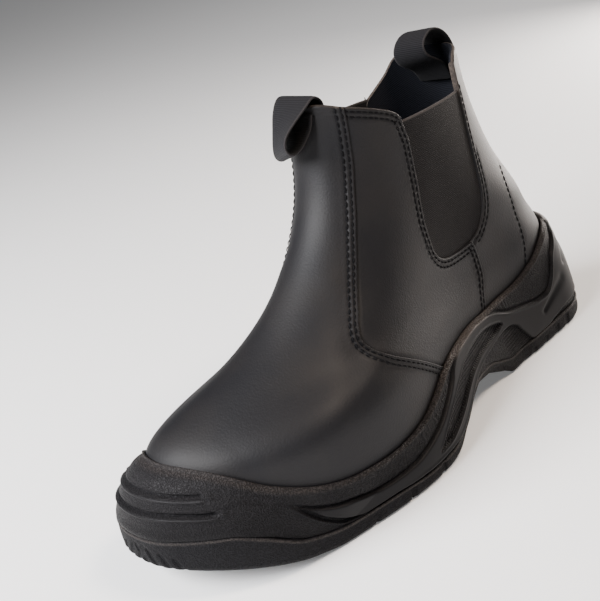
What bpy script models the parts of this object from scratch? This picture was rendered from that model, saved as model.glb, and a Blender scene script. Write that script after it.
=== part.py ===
"""Left side gore work boot: a moulded outsole and foxing unit, a hollow leather
upper with lapped quarters, two elastic gores, two webbing pull loops and a footbed.

Run it with blender --background --python part.py, or from Blender's text editor.
Sizes are in millimetres until a mesh is made. The toe is at +X, the boot's outer
(lateral) side at +Y, and the heel and the ball stand on z = 0.
"""

import bpy
import numpy as np

MM = 0.001

# Driving sizes
HEEL_X = -4.0            # back of the sole
TOE_X = 311.0            # front of the sole
CENTRE = (153.7, 3.8)   # plan point that becomes the origin
WALL = 2.2               # leather of the vamp
LAP = 1.0                # how far a quarter stands over the vamp
GAP = 0.3                # air between two pieces that touch
RIM_WALL = 3.0           # foxing at its rim, measured from the leather
INSOLE = 3.0
TREAD_DEPTH = 3.6
SHELF = 5.0              # width of the outsole's rand at the toe
GORE_WALL = 1.8
GORE_LAP = 8.0           # elastic hidden behind the leather
LOOP_WALL = 1.6

# Resolution of the lofts
AROUND = 64
UP = 12


def curve(points):
    """Natural cubic through a table of two columns, held at its ends."""
    xs, ys = np.array(points, float).T
    n = len(xs)
    h = np.diff(xs)
    a = np.eye(n)
    r = np.zeros(n)
    for i in range(1, n - 1):
        a[i, i - 1:i + 2] = h[i - 1], 2 * (h[i - 1] + h[i]), h[i]
        r[i] = 6 * ((ys[i + 1] - ys[i]) / h[i] - (ys[i] - ys[i - 1]) / h[i - 1])
    m = np.linalg.solve(a, r)

    def f(x):
        x = np.clip(x, xs[0], xs[-1])
        i = np.clip(np.searchsorted(xs, x) - 1, 0, n - 2)
        t, d = x - xs[i], h[i]
        slope = (ys[i + 1] - ys[i]) / d - d * (2 * m[i] + m[i + 1]) / 6
        return ys[i] + t * (slope + t * (m[i] / 2 + t * (m[i + 1] - m[i]) / (6 * d)))
    return f


def ramp(points):
    """Curve that goes from row to row without passing either: flats stay flat."""
    xs, ys = np.array(points, float).T
    h = np.diff(xs)
    d = np.diff(ys) / h
    m = np.zeros(len(xs))
    for i in range(1, len(xs) - 1):
        if d[i - 1] * d[i] > 0:
            w1, w2 = 2 * h[i] + h[i - 1], h[i] + 2 * h[i - 1]
            m[i] = (w1 + w2) / (w1 / d[i - 1] + w2 / d[i])

    def f(x):
        x = np.clip(x, xs[0], xs[-1])
        i = np.clip(np.searchsorted(xs, x) - 1, 0, len(xs) - 2)
        t = (x - xs[i]) / h[i]
        return (ys[i] * (1 + 2 * t) * (1 - t) ** 2 + h[i] * m[i] * t * (1 - t) ** 2
                + ys[i + 1] * t * t * (3 - 2 * t) + h[i] * m[i + 1] * t * t * (t - 1))
    return f


# The last, one row per height: where the section starts and ends along the boot,
# how long its two ends take to round, and its half widths on the outer (out) and
# inner (inn) side at the heel, the waist, the ball and the toe.
LAST = [
    # z   back  front  roundF roundB out: heel waist ball toe  inn: heel waist ball toe
    (10,  9.0, 286.0,  64, 46,   32.0, 35.0, 49.0, 43.0,   31.0, 27.0, 43.0, 41.0),
    (30,  5.0, 292.0,  64, 46,   35.3, 38.3, 52.3, 46.3,   34.0, 30.0, 46.0, 44.0),
    (46,  4.5, 293.4,  63, 47,   36.2, 38.4, 52.2, 46.2,   34.4, 31.4, 46.0, 44.0),
    (58,  5.0, 290.5,  66, 48,   36.2, 37.6, 50.4, 44.6,   34.0, 32.0, 44.6, 42.6),
    (66,  6.8, 280.5,  82, 49,   35.0, 35.6, 46.6, 41.4,   33.2, 31.8, 42.0, 39.8),
    (74, 10.0, 260.0, 104, 52,   34.2, 34.4, 42.4, 38.0,   33.0, 32.0, 39.0, 37.0),
    (84, 13.1, 233.0,  99, 53,   33.8, 34.0, 39.5, 35.5,   33.0, 32.5, 37.5, 35.5),
    (97, 18.6, 209.5,  93, 58,   33.3, 33.8, 37.0, 34.0,   32.8, 32.5, 35.5, 33.5),
    (112, 25.4, 191.0, 83, 64,   32.7, 33.2, 34.6, 33.0,   32.3, 32.2, 34.0, 32.5),
    (130, 30.7, 175.5, 76, 67,   32.2, 32.7, 33.2, 32.2,   32.0, 32.2, 33.0, 32.0),
    (150, 34.5, 166.0, 71, 68,   32.0, 33.0, 33.0, 32.0,   32.0, 33.0, 33.0, 32.0),
    (190, 37.2, 160.0, 64, 69,   33.4, 34.4, 34.4, 33.4,   33.4, 34.4, 34.4, 33.4),
]
STATIONS = (40, 110, 200, 270)      # x of the heel, the waist, the ball and the toe
MIDLINE = curve([(0, -2.8), (90, -5.0), (160, 4.6), (230, 6.4), (300, -9.5)])

# The sole's outline in plan, as its two edges.
OUT_EDGE = curve([(0, 35.8), (45, 36.7), (90, 39.6), (130, 49.0), (165, 60.2),
                  (200, 62.4), (235, 56.7), (270, 48.0), (305, 35.1)])
INN_EDGE = curve([(0, -37.4), (45, -36.8), (90, -34.9), (130, -33.3), (165, -36.9),
                  (200, -44.3), (235, -51.4), (270, -56.1), (305, -57.0)])
TOE_ROUND = 50.6
HEEL_ROUND = 33.7

# Heights along the boot, one row per station: x, z.
BOTTOM = ramp([(-4, 2.5), (18, 0), (84, 0), (90, 3), (100, 10.3), (124, 15.5),
               (148, 6), (165, 0.8), (174, 0), (244, 0), (260, 2.2), (275, 6.2), (305, 14),
               (311, 15)])
SEAM = ramp([(-4, 11), (60, 10.5), (84, 10.5), (96, 14.5), (110, 19.5), (125, 20.5),
             (140, 17.5), (155, 11.5), (170, 8), (185, 7.8), (212, 9.5), (241, 10),
             (262, 14.4), (282, 25.5), (292, 30), (311, 31.3)])
PLATE = ramp([(-4, 8), (18, 6), (84, 6), (100, 14.6), (124, 19.5), (148, 10.5),
              (170, 5.4), (244, 5.4), (275, 11), (305, 19)])
FLOOR = ramp([(0, 30), (60, 28.5), (100, 26), (125, 24.5), (150, 19.5), (175, 15.5),
              (210, 14), (250, 15), (292, 22)])
LOW = ramp([(-4, 14.5), (53, 14.5), (62, 15.5), (68, 18.5), (74, 24.5), (82, 29.5),
            (90, 30.6), (100, 29.5), (115, 26.5), (137, 21), (150, 15.5), (165, 11),
            (185, 10.5), (212, 12), (242, 13), (255, 17), (262, 26), (272, 33),
            (285, 38.5), (311, 40)])
HIGH = ramp([(-4, 44), (20, 43.5), (31, 42), (36, 36), (40, 30.5), (48, 27.5),
             (60, 29.8), (70, 31.9), (86, 36.8), (97, 38), (115, 39.5), (135, 40),
             (149, 37.5), (160, 29.5), (172, 18.5), (184, 15.2), (197, 15.5),
             (214, 16.6), (229, 18), (243, 22), (256, 27.5), (267, 34.3), (280, 43),
             (288, 47.5), (311, 48)])
RIM = ramp([(-4, 61), (20, 59), (35, 54), (46, 49), (67, 43.5), (91, 43), (120, 45),
            (140, 44.5), (152, 42.5), (167, 37), (185, 31.8), (206, 30.2), (233, 31.8),
            (248, 34.5), (268, 43.3), (280, 53.5), (288, 61.6), (293, 64.6), (311, 64.6)])
COLLAR = ramp([(36, 176), (52, 175), (60, 170), (118, 165), (123, 168), (133, 172.5),
               (148, 179), (161, 184)])

# Relief of the foxing's side, outward from its plain wall: between the seam and
# LOW, between LOW and HIGH at the two edges of the band, in the middle of the band.
FOOT = ramp([(-4, 0.8), (62, 0.8), (74, -0.6), (150, -0.6), (168, 0.6), (255, 0.6),
             (275, 1.6), (311, 1.8)])
BAND = ramp([(-4, 1.3), (150, 1.3), (230, 1.0), (252, -0.6), (268, -0.6), (284, 0.8),
             (311, 0.9)])
INLAY = ramp([(-4, 1.3), (88, 1.3), (98, -0.2), (168, -0.2), (182, 0.9), (230, 1.0),
              (252, -0.6), (268, -0.6), (284, 0.8), (311, 0.9)])

# Side views, x and z.
QUARTER = [(148.3, 190), (148.3, 178), (150.5, 158), (157.3, 135), (171, 110), (184.5, 91),
           (191, 82.5), (193.6, 77), (192.6, 73), (188, 68), (179.5, 60), (168.5, 51.5),
           (157, 43), (146, 34), (120, 18), (-30, 18), (-30, 190)]
WINDOW = [(117.6, 190), (117.3, 160), (115.8, 149), (117.3, 129), (119.6, 117), (121, 105),
          (120.6, 93), (117.6, 86.5), (112, 82.4), (104, 80.6), (91, 79.8), (82, 80.8),
          (75.5, 84.6), (71, 90), (68, 97), (65, 108), (61.5, 130), (58.9, 156), (58.4, 190)]
GORE_TOP = [(59, 156), (118, 160.5)]

# Pull loops: the strip's centre line from inside the collar to outside, x and z; then
# its middle's y, its width, and how far its outer edge leads in x and z where it is free.
FRONT_LOOP = [(159.0, 164), (157.7, 174), (155.8, 184.8), (160.8, 188.4), (167.4, 184.8),
              (172.4, 177.0), (175.4, 169.0), (174.4, 162.8), (170.0, 161.2), (166.6, 165.4),
              (165.5, 171.5), (164.9, 176.5)]
BACK_LOOP = [(40.6, 157), (45.0, 164), (52.6, 170.2), (58.0, 176.4), (56.4, 182.4),
             (51.0, 185.6), (45.0, 184.9), (39.8, 181.4), (34.6, 176.6), (33.6, 169), (33.0, 159)]
FRONT_STRIP = (2.0, 25.0, (6.5, 0.6))
BACK_STRIP = (-9.0, 20.0, (0.0, 0.8))


def close(t, power):
    """Rounding of an end: 0 at the end, 1 from t = 1 on."""
    t = np.clip(t, 0.0, 1.0)
    return (1 - (1 - t) ** power) ** (1 / power)


def split(around):
    """Place around the boot, 0 at the back and 0.5 at the toe, as side and way along."""
    around = np.mod(around, 1.0)
    outer = around <= 0.5
    return np.where(outer, 1.0, -1.0), np.where(outer, 2 * around, 2 - 2 * around)


LEVELS = np.array(LAST, float)
SIZES = [curve(LEVELS[:, [0, i]]) for i in range(1, LEVELS.shape[1])]
SHARE = [curve(np.column_stack([STATIONS, np.eye(4)[i]])) for i in range(4)]


def last_point(around, z):
    """Point of the leather's outer face at a height."""
    side, along = split(around)
    back, front, round_front, round_back = (SIZES[i](z) for i in range(4))
    x = back + (front - back) * (1 - np.cos(np.pi * along)) / 2
    held = np.clip(x, 20, 290)
    outer = sum(SIZES[4 + i](z) * SHARE[i](held) for i in range(4))
    inner = sum(SIZES[8 + i](z) * SHARE[i](held) for i in range(4))
    width = np.where(side > 0, outer, inner)
    width = width * close((front - x) / round_front, 2.1) * close((x - back) / round_back, 2.1)
    return np.stack([x, MIDLINE(x) + side * width, z + 0 * x], -1)


def upper_point(around, z, out=0.0):
    """Point of the leather moved outward along the surface's own normal."""
    step = 2e-3
    run = last_point(around + step, z) - last_point(around - step, z)
    rise = last_point(around, z + 0.5) - last_point(around, z - 0.5)
    normal = np.cross(rise, run)
    normal /= np.linalg.norm(normal, axis=-1)[..., None]
    return last_point(around, z) + normal * np.asarray(out)[..., None]


def outline(around, inset=0.0):
    """Plan point of the sole's outline, moved inward by inset."""
    def plain(s):
        side, along = split(s)
        x = HEEL_X + (TOE_X - HEEL_X) * (1 - np.cos(np.pi * along)) / 2
        top, low = OUT_EDGE(x), INN_EDGE(x)
        width = (top - low) / 2 * close((TOE_X - x) / TOE_ROUND, 2.2) \
            * close((x - HEEL_X) / HEEL_ROUND, 2.2)
        return np.stack([x, (top + low) / 2 + side * width], -1)
    run = plain(around + 2e-3) - plain(around - 2e-3)
    run /= np.linalg.norm(run, axis=-1)[..., None]
    normal = np.stack([-run[..., 1], run[..., 0]], -1)
    return plain(around) - normal * np.asarray(inset)[..., None]


def rim_height(around):
    """Height of the foxing's rim, read where the rim itself lies."""
    x = outline(around)[..., 0]
    for _ in range(4):
        x = upper_point(around, RIM(x), RIM_WALL)[..., 0]
    return RIM(x)


def foxing_point(around, z, relief=0.0):
    """Point of the sole's side: upright from the outline, then leaning in to the leather."""
    top = rim_height(around)
    foot = outline(around)
    cover = upper_point(around, np.maximum(z, 12.0), RIM_WALL)[..., :2]
    power = 1.7 + 1.5 * np.clip((foot[..., 0] - 255) / 30, 0, 1)
    lean = np.clip((z - 12) / (top - 12), 0, 1) ** power
    run = outline(around + 2e-3) - outline(around - 2e-3)
    run /= np.linalg.norm(run, axis=-1)[..., None]
    normal = np.stack([-run[..., 1], run[..., 0]], -1)
    short = np.maximum(0, -np.sum((foot - cover) * normal, -1))
    plan = cover + (foot + normal * short[..., None] - cover) * (1 - lean[..., None])
    plan = plan + normal * np.asarray(relief)[..., None]
    return np.concatenate([plan, (z + 0 * plan[..., 0])[..., None]], -1)


def ring_places(count):
    return np.arange(count) / count


def new_object(name, vertices, faces, colour, roughness, metallic=0.0, where="boot"):
    """Mesh object in metres about the boot's own origin, with its own material."""
    points = (np.asarray(vertices, float) - np.array([CENTRE[0], CENTRE[1], 0.0])) * MM
    mesh = bpy.data.meshes.new(name)
    mesh.from_pydata(points.tolist(), [], [tuple(int(i) for i in f) for f in faces])
    mesh.validate()
    obj = bpy.data.objects.new(name, mesh)
    bpy.data.collections[where].objects.link(obj)
    if where == "cutters":
        obj.hide_render = True
        obj.display_type = "WIRE"
        return obj
    mesh.shade_smooth()
    mesh.set_sharp_from_angle(angle=np.radians(40))
    material = bpy.data.materials.new(name)
    material.use_nodes = True
    shader = material.node_tree.nodes["Principled BSDF"]
    shader.inputs["Base Color"].default_value = (*colour, 1.0)
    shader.inputs["Roughness"].default_value = roughness
    shader.inputs["Metallic"].default_value = metallic
    mesh.materials.append(material)
    return obj


def loft(rings, ends="strip"):
    """Triangles through a stack of equal rings, listed from the outside bottom, closed by
    strips across the first and the last ring, or joined into a tube wall. Each quad is
    split from its lower ring's first corner, so two walls side by side split alike."""
    rings = np.asarray(rings, float)
    levels, count = rings.shape[:2]
    faces = []
    last = levels if ends == "join" else levels - 1
    for j in range(last):
        k = (j + 1) % levels
        rising = rings[j, :, 2].mean() <= rings[k, :, 2].mean()
        for i in range(count):
            n = (i + 1) % count
            a, b, c, d = j * count + n, j * count + i, k * count + i, k * count + n
            faces += [(a, b, d), (b, c, d)] if rising else [(a, b, c), (a, c, d)]
    if ends == "strip":
        half = count // 2
        top = (levels - 1) * count
        for i in range(half):
            a, b = i, i + 1
            c, d = (count - i - 1) % count, (count - i) % count
            quad = [a, b, c, d]
            for corner in ((quad[0], quad[1], quad[2]), (quad[0], quad[2], quad[3])):
                if len(set(corner)) == 3:
                    faces.append(corner)
                    faces.append(tuple(top + q for q in reversed(corner)))
    return rings.reshape(-1, 3), faces


def prism(name, points, half_width, y0=0.0):
    """Side-view outline pushed across the boot, as a cutter."""
    count = len(points)
    near = [(x, y0 - half_width, z) for x, z in points]
    far = [(x, y0 + half_width, z) for x, z in points]
    faces = [tuple(range(count)), tuple(range(2 * count - 1, count - 1, -1))]
    for i in range(count):
        n = (i + 1) % count
        faces.append((n, i, count + i, count + n))
    obj = new_object(name, near + far, faces, (0, 0, 0), 0.5, where="cutters")
    return make_outward(obj)


def make_outward(obj):
    """Turn every face of a closed mesh outward."""
    import bmesh
    data = bmesh.new()
    data.from_mesh(obj.data)
    bmesh.ops.recalc_face_normals(data, faces=data.faces)
    data.to_mesh(obj.data)
    data.free()
    return obj


def boolean(obj, operation, other=None, collection=None):
    modifier = obj.modifiers.new(operation.title(), "BOOLEAN")
    modifier.operation = operation
    modifier.solver = "EXACT"
    if collection:
        modifier.operand_type = "COLLECTION"
        modifier.collection = bpy.data.collections[collection]
    else:
        modifier.object = other
    return modifier


def smooth_path(points, count):
    """Even walk along a smooth curve through points."""
    points = np.array(points, float)
    way = np.concatenate([[0], np.cumsum(np.linalg.norm(np.diff(points, axis=0), axis=1))])
    t = np.linspace(0, way[-1], count)
    return np.stack([curve(np.column_stack([way, points[:, i]]))(t) for i in range(2)], -1)


def make_outsole():
    """Rubber bottom with its heel block, arch, toe spring and the rand at the toe."""
    s = ring_places(AROUND)
    edge = outline(s)[:, 0]
    bottom, seam, plate = BOTTOM(edge), SEAM(edge), PLATE(edge)
    rings = []
    for lift, inset in ((0.0, 2.6), (1.4, 1.0), (3.4, 0.2)):
        z = np.minimum(bottom + lift, seam - 3 + lift / 4)
        rings.append(foxing_point(s, z, FOOT(edge) - inset))
    rings.append(foxing_point(s, np.maximum(seam - GAP, bottom + 3), FOOT(edge)))
    top = np.maximum(seam - GAP, bottom + 3)
    rings.append(np.column_stack([outline(s, SHELF), top]))
    low = np.minimum(plate, top - 0.5)
    rings.append(np.column_stack([outline(s, SHELF + 1.5), low]))
    points, faces = loft(rings)
    return new_object("outsole", points, faces, (0.022, 0.021, 0.021), 0.62)


def make_midsole():
    """Foxing unit: a cup with the toe tiers, the side ribbon, the heel band and the rim."""
    s = ring_places(AROUND)
    edge = outline(s)[:, 0]
    bottom, seam, plate = BOTTOM(edge), SEAM(edge), PLATE(edge)
    rim = rim_height(s)
    flank = 0.75 * edge + 0.25 * last_point(s, 40.0)[:, 0]
    low, high = LOW(flank), np.minimum(HIGH(flank), rim - 4.5)
    base = np.maximum(seam, bottom + 3 + GAP)
    foot, band, inlay = FOOT(edge), BAND(edge), INLAY(edge)
    rows = [(base, foot), (low - 0.5, foot), (low + 0.5, band), (low + 3.0, band),
            (low + 4.0, inlay), (high - 4.0, inlay), (high - 3.0, band), (high - 0.5, band),
            (high + 0.6, 0 * band), (rim - 2.6, 0 * band), (rim - 2.0, 0.7 + 0 * band),
            (rim - 0.5, 0.5 + 0 * band)]
    inside = SHELF + 2 * GAP
    rings = [np.column_stack([outline(s, inside + 1.5),
                              np.minimum(plate, base - 0.5 - GAP) + 2 * GAP]),
             np.column_stack([outline(s, inside), base + GAP / 2])]
    under = None
    for count, (z, relief) in enumerate(rows):
        z = np.minimum(z, rim - 0.5 - 0.32 * (len(rows) - 1 - count))
        if under is not None:
            z = np.maximum(z, under + 0.3)
        under = z
        rings.append(foxing_point(s, z, relief))
    rings.append(upper_point(s, rim, RIM_WALL - 0.8))
    rings.append(upper_point(s, rim, GAP))
    for z in cup_levels(s)[-2::-1]:
        rings.append(upper_point(s, z, GAP))
    points, faces = loft(rings)
    return new_object("midsole", points, faces, (0.030, 0.028, 0.028), 0.58)


def cup_levels(around):
    """Heights shared by the leather and the foxing around it, floor to rim."""
    floor = FLOOR(last_point(around, 20.0)[:, 0])
    rim = rim_height(around)
    return [floor + (rim - floor) * t for t in (0, 0.2, 0.4, 0.6, 0.8, 1)]


def shell(name, outer, inner, levels, around, colour, roughness, where="boot"):
    """Wall between two offsets of the last, through a list of heights."""
    rings = [upper_point(around, z, outer) for z in levels]
    rings += [upper_point(around, z, inner) for z in reversed(levels)]
    points, faces = loft(rings, "join")
    return new_object(name, points, faces, colour, roughness, where=where)


def make_upper():
    """Leather shell, its quarters lapped over the vamp and cut out for the elastic."""
    s = ring_places(AROUND)
    levels = cup_levels(s)
    rim = levels[-1]
    levels[0] = levels[0] + GAP
    top = COLLAR(last_point(s, 178.0)[:, 0])
    steps = np.linspace(0, 1, UP) ** 1.5
    levels += [rim + (top - rim) * t for t in steps[1:]]
    upper = shell("upper", 0.0, -WALL, levels, s, (0.020, 0.019, 0.020), 0.38)
    above = [rim + GAP + (top - rim - GAP) * t for t in steps]
    laps = shell("quarters", LAP, -WALL / 2, above, s, (0, 0, 0), 0.5, "cutters")
    boolean(laps, "INTERSECT", prism("quarter_outline", QUARTER, 90))
    boolean(upper, "UNION", laps)
    boolean(upper, "DIFFERENCE", prism("window_outline", WINDOW, 90))
    return upper


def make_gore(name, side):
    """Elastic panel behind the window of one side, lapped under the leather."""
    z = np.linspace(72, 158, 9)
    lo, hi = -WALL - 2 * GAP - GORE_WALL, -WALL - 2 * GAP
    top_of = np.polyfit(*np.array(GORE_TOP, float).T, 1)
    outer, inner = [], []
    for level, height in enumerate(z):
        t = level / (len(z) - 1)
        front = 121 + GORE_LAP - 3.0 * t
        back = 66 - GORE_LAP - 4.0 * t
        xs = np.linspace(back, front, 9)
        heights = height + (np.polyval(top_of, xs) - z[-1]) * t
        places = find_place(xs, heights, side)
        outer.append(upper_point(places, heights, hi))
        inner.append(upper_point(places, heights, lo))
    outer, inner = np.array(outer), np.array(inner)
    rows, cols = outer.shape[:2]
    points = np.concatenate([outer.reshape(-1, 3), inner.reshape(-1, 3)])
    faces = []
    for j in range(rows - 1):
        for i in range(cols - 1):
            quad = [j * cols + i, j * cols + i + 1, (j + 1) * cols + i + 1, (j + 1) * cols + i]
            faces.append(quad)
            faces.append([q + rows * cols for q in reversed(quad)])
    loop = [i for i in range(cols)] + [j * cols + cols - 1 for j in range(1, rows)]
    loop += [(rows - 1) * cols + i for i in range(cols - 2, -1, -1)]
    loop += [j * cols for j in range(rows - 2, 0, -1)]
    for a, b in zip(loop, loop[1:] + loop[:1]):
        faces.append([b, a, a + rows * cols, b + rows * cols])
    gore = new_object(name, points, faces, (0.030, 0.025, 0.022), 0.85)
    return make_outward(gore)


def find_place(xs, heights, side):
    """Place around the boot where the leather has a given x at a given height."""
    back, front = SIZES[0](heights), SIZES[1](heights)
    along = np.arccos(np.clip(1 - 2 * (xs - back) / (front - back), -1, 1)) / np.pi
    return along / 2 if side > 0 else 1 - along / 2


def wall_bow(y, centre_y, z, toe, out):
    """How far an offset of the leather's end, heel or toe, lies off its middle at a y."""
    start = 0.5 if toe else 0.0
    places = start + np.linspace(-0.16, 0.16, 81)
    section = upper_point(places, np.full(81, min(z, 184.0)), out)
    order = np.argsort(section[:, 1])
    x = np.interp([y, centre_y], section[order, 1], section[order, 0])
    return x[0] - x[1]


def make_loop(name, path, strip, toe):
    """Webbing strip swept along its side view, bowed where it lies on the leather."""
    centre_y, width, lead = strip
    line = smooth_path(path, 19)
    way = np.linspace(0, 1, len(line))
    hold = np.clip(np.abs(way - 0.5) * 8.0 - 1.2, 0.25, 1.0)
    off = np.where(way < 0.5, -WALL - GAP - LOOP_WALL, LAP + GAP + LOOP_WALL)
    run = np.gradient(line, axis=0)
    run /= np.linalg.norm(run, axis=1)[:, None]
    normal = np.stack([-run[:, 1], run[:, 0]], -1)
    rings = []
    steps = np.linspace(-1, 1, 5)
    for centre, n, share, out_of in zip(line, normal, hold, off):
        ring = []
        for out, shares in ((-1, steps), (1, steps[::-1])):
            for share_y in shares:
                free = (1 - share) * share_y
                x, z = centre + n * out * LOOP_WALL / 2 + free * np.array(lead)
                y = centre_y + share_y * width / 2
                ring.append((x + share * wall_bow(y, centre_y, z, toe, out_of), y, z))
        rings.append(ring)
    points, faces = loft(rings)
    return make_outward(new_object(name, points, faces, (0.024, 0.023, 0.024), 0.8))


def make_insole():
    """Footbed inside the upper, on the foxing unit's floor."""
    s = ring_places(AROUND)
    low = FLOOR(last_point(s, 20.0)[:, 0]) + GAP
    inside = -WALL - 2 * GAP
    rings = [upper_point(s, low, inside), upper_point(s, low + INSOLE, inside)]
    points, faces = loft(rings)
    return new_object("insole", points, faces, (0.035, 0.034, 0.036), 0.9)


def strip_cutter(name, points, width, depth):
    """Groove of the tread: a band along plan points that follows the sole's bottom."""
    line = np.array(points, float)
    run = np.gradient(line, axis=0)
    run /= np.linalg.norm(run, axis=1)[:, None]
    normal = np.stack([-run[:, 1], run[:, 0]], -1)
    rings = []
    for centre, n in zip(line, normal):
        z = float(BOTTOM(centre[0]))
        ring = []
        for across, height in ((-1, z - 6), (1, z - 6), (0.75, z + depth), (-0.75, z + depth)):
            x, y = centre + n * across * width / 2
            ring.append((x, y, height))
        rings.append(ring)
    points, faces = loft(rings)
    obj = new_object(name, points, faces, (0, 0, 0), 0.5, where="cutters")
    bpy.data.collections["cutters"].objects.unlink(obj)
    bpy.data.collections["tread"].objects.link(obj)
    return make_outward(obj)


def across(x, share):
    """Plan point at a share of the half width from the sole's middle, out is +1."""
    top, low = float(OUT_EDGE(x)), float(INN_EDGE(x))
    width = (top - low) / 2 * float(close(np.array((TOE_X - x) / TOE_ROUND), 2.2)) \
        * float(close(np.array((x - HEEL_X) / HEEL_ROUND), 2.2))
    return (x, (top + low) / 2 + share * width)


# Tread grooves, one row each: the groove's way from its inner end to its outer end
# as x and share of the half width, mirrored to both halves, and its width.
CHEVRONS = [
    # apex x, x at the edge, width
    (292, 306, 3.2),
    (281, 300, 3.2),
    (270, 292, 3.2),
    (258, 283, 3.8),
]
RUNS = [
    # share, start x, end x, width
    (0.13, 170, 256, 4.6),
    (0.54, 168, 268, 4.6),
]
SLANTS = [
    # x inside, share inside, x outside, width
    (238, 0.13, 262, 5.0),
    (221, 0.13, 245, 5.0),
    (204, 0.13, 228, 7.5),
    (187, 0.13, 209, 5.0),
    (171, 0.13, 191, 5.0),
]
HEEL_RING = [(83, 0.52), (60, 0.52), (36, 0.50), (20, 0.36), (15, 0.0)]
HEEL_NOTCHES = [(72, 0.52, 74), (50, 0.52, 50), (31, 0.48, 26), (19, 0.3, 8)]


def make_tread():
    for half in (1, -1):
        tag = "out" if half > 0 else "inn"
        for n, (apex, edge, width) in enumerate(CHEVRONS):
            way = [across(apex + (edge - apex) * t ** 1.3, half * 1.12 * t - half * 0.02)
                   for t in np.linspace(0, 1, 5)]
            strip_cutter(f"chevron_{tag}_{n}", way, width, TREAD_DEPTH)
        for n, (share, start, end, width) in enumerate(RUNS):
            way = [across(x, half * share) for x in np.linspace(start, end, 6)]
            strip_cutter(f"run_{tag}_{n}", way, width, TREAD_DEPTH)
        for n, (x0, share, x1, width) in enumerate(SLANTS):
            way = [across(x0 + (x1 - x0) * t, half * (share + (1.12 - share) * t))
                   for t in (0, 0.5, 1)]
            strip_cutter(f"slant_{tag}_{n}", way, width, TREAD_DEPTH)
        for n, (x0, share, x1) in enumerate(HEEL_NOTCHES):
            way = [across(x0, half * share), across(x1, half * 1.2)]
            strip_cutter(f"notch_{tag}_{n}", way, 4.0, TREAD_DEPTH)
    ring = [across(x, -share) for x, share in HEEL_RING]
    ring += [across(x, share) for x, share in HEEL_RING[-2::-1]]
    strip_cutter("heel_ring", ring, 5.0, TREAD_DEPTH)


def main():
    for obj in list(bpy.data.objects):
        bpy.data.objects.remove(obj, do_unlink=True)
    for name in ("boot", "cutters", "tread"):
        bpy.context.scene.collection.children.link(bpy.data.collections.new(name))
    outsole = make_outsole()
    make_tread()
    boolean(outsole, "DIFFERENCE", collection="tread")
    make_midsole()
    make_upper()
    make_gore("gore_lateral", 1)
    make_gore("gore_medial", -1)
    make_insole()
    make_loop("pull_loop_front", FRONT_LOOP, FRONT_STRIP, True)
    make_loop("pull_loop_back", BACK_LOOP, BACK_STRIP, False)


main()
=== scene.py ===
import bpy
import numpy as np
from mathutils import Matrix, Vector


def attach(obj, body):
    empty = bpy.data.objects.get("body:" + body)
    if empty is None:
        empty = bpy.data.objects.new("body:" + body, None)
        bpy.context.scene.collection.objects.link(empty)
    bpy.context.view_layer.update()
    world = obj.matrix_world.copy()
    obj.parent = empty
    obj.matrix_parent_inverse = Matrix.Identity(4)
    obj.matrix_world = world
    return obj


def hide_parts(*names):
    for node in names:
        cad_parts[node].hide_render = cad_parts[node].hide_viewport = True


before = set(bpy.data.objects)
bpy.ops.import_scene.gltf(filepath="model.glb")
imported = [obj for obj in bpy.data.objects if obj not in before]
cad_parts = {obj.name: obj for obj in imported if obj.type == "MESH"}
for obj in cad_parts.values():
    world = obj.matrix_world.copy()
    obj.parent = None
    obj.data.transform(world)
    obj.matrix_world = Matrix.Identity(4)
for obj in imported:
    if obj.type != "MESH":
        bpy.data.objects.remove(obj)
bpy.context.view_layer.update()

mm = 0.001
planCentre = np.array([153.7, 3.8, 0.0])     # the boot's own x and y that lie over the origin

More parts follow.
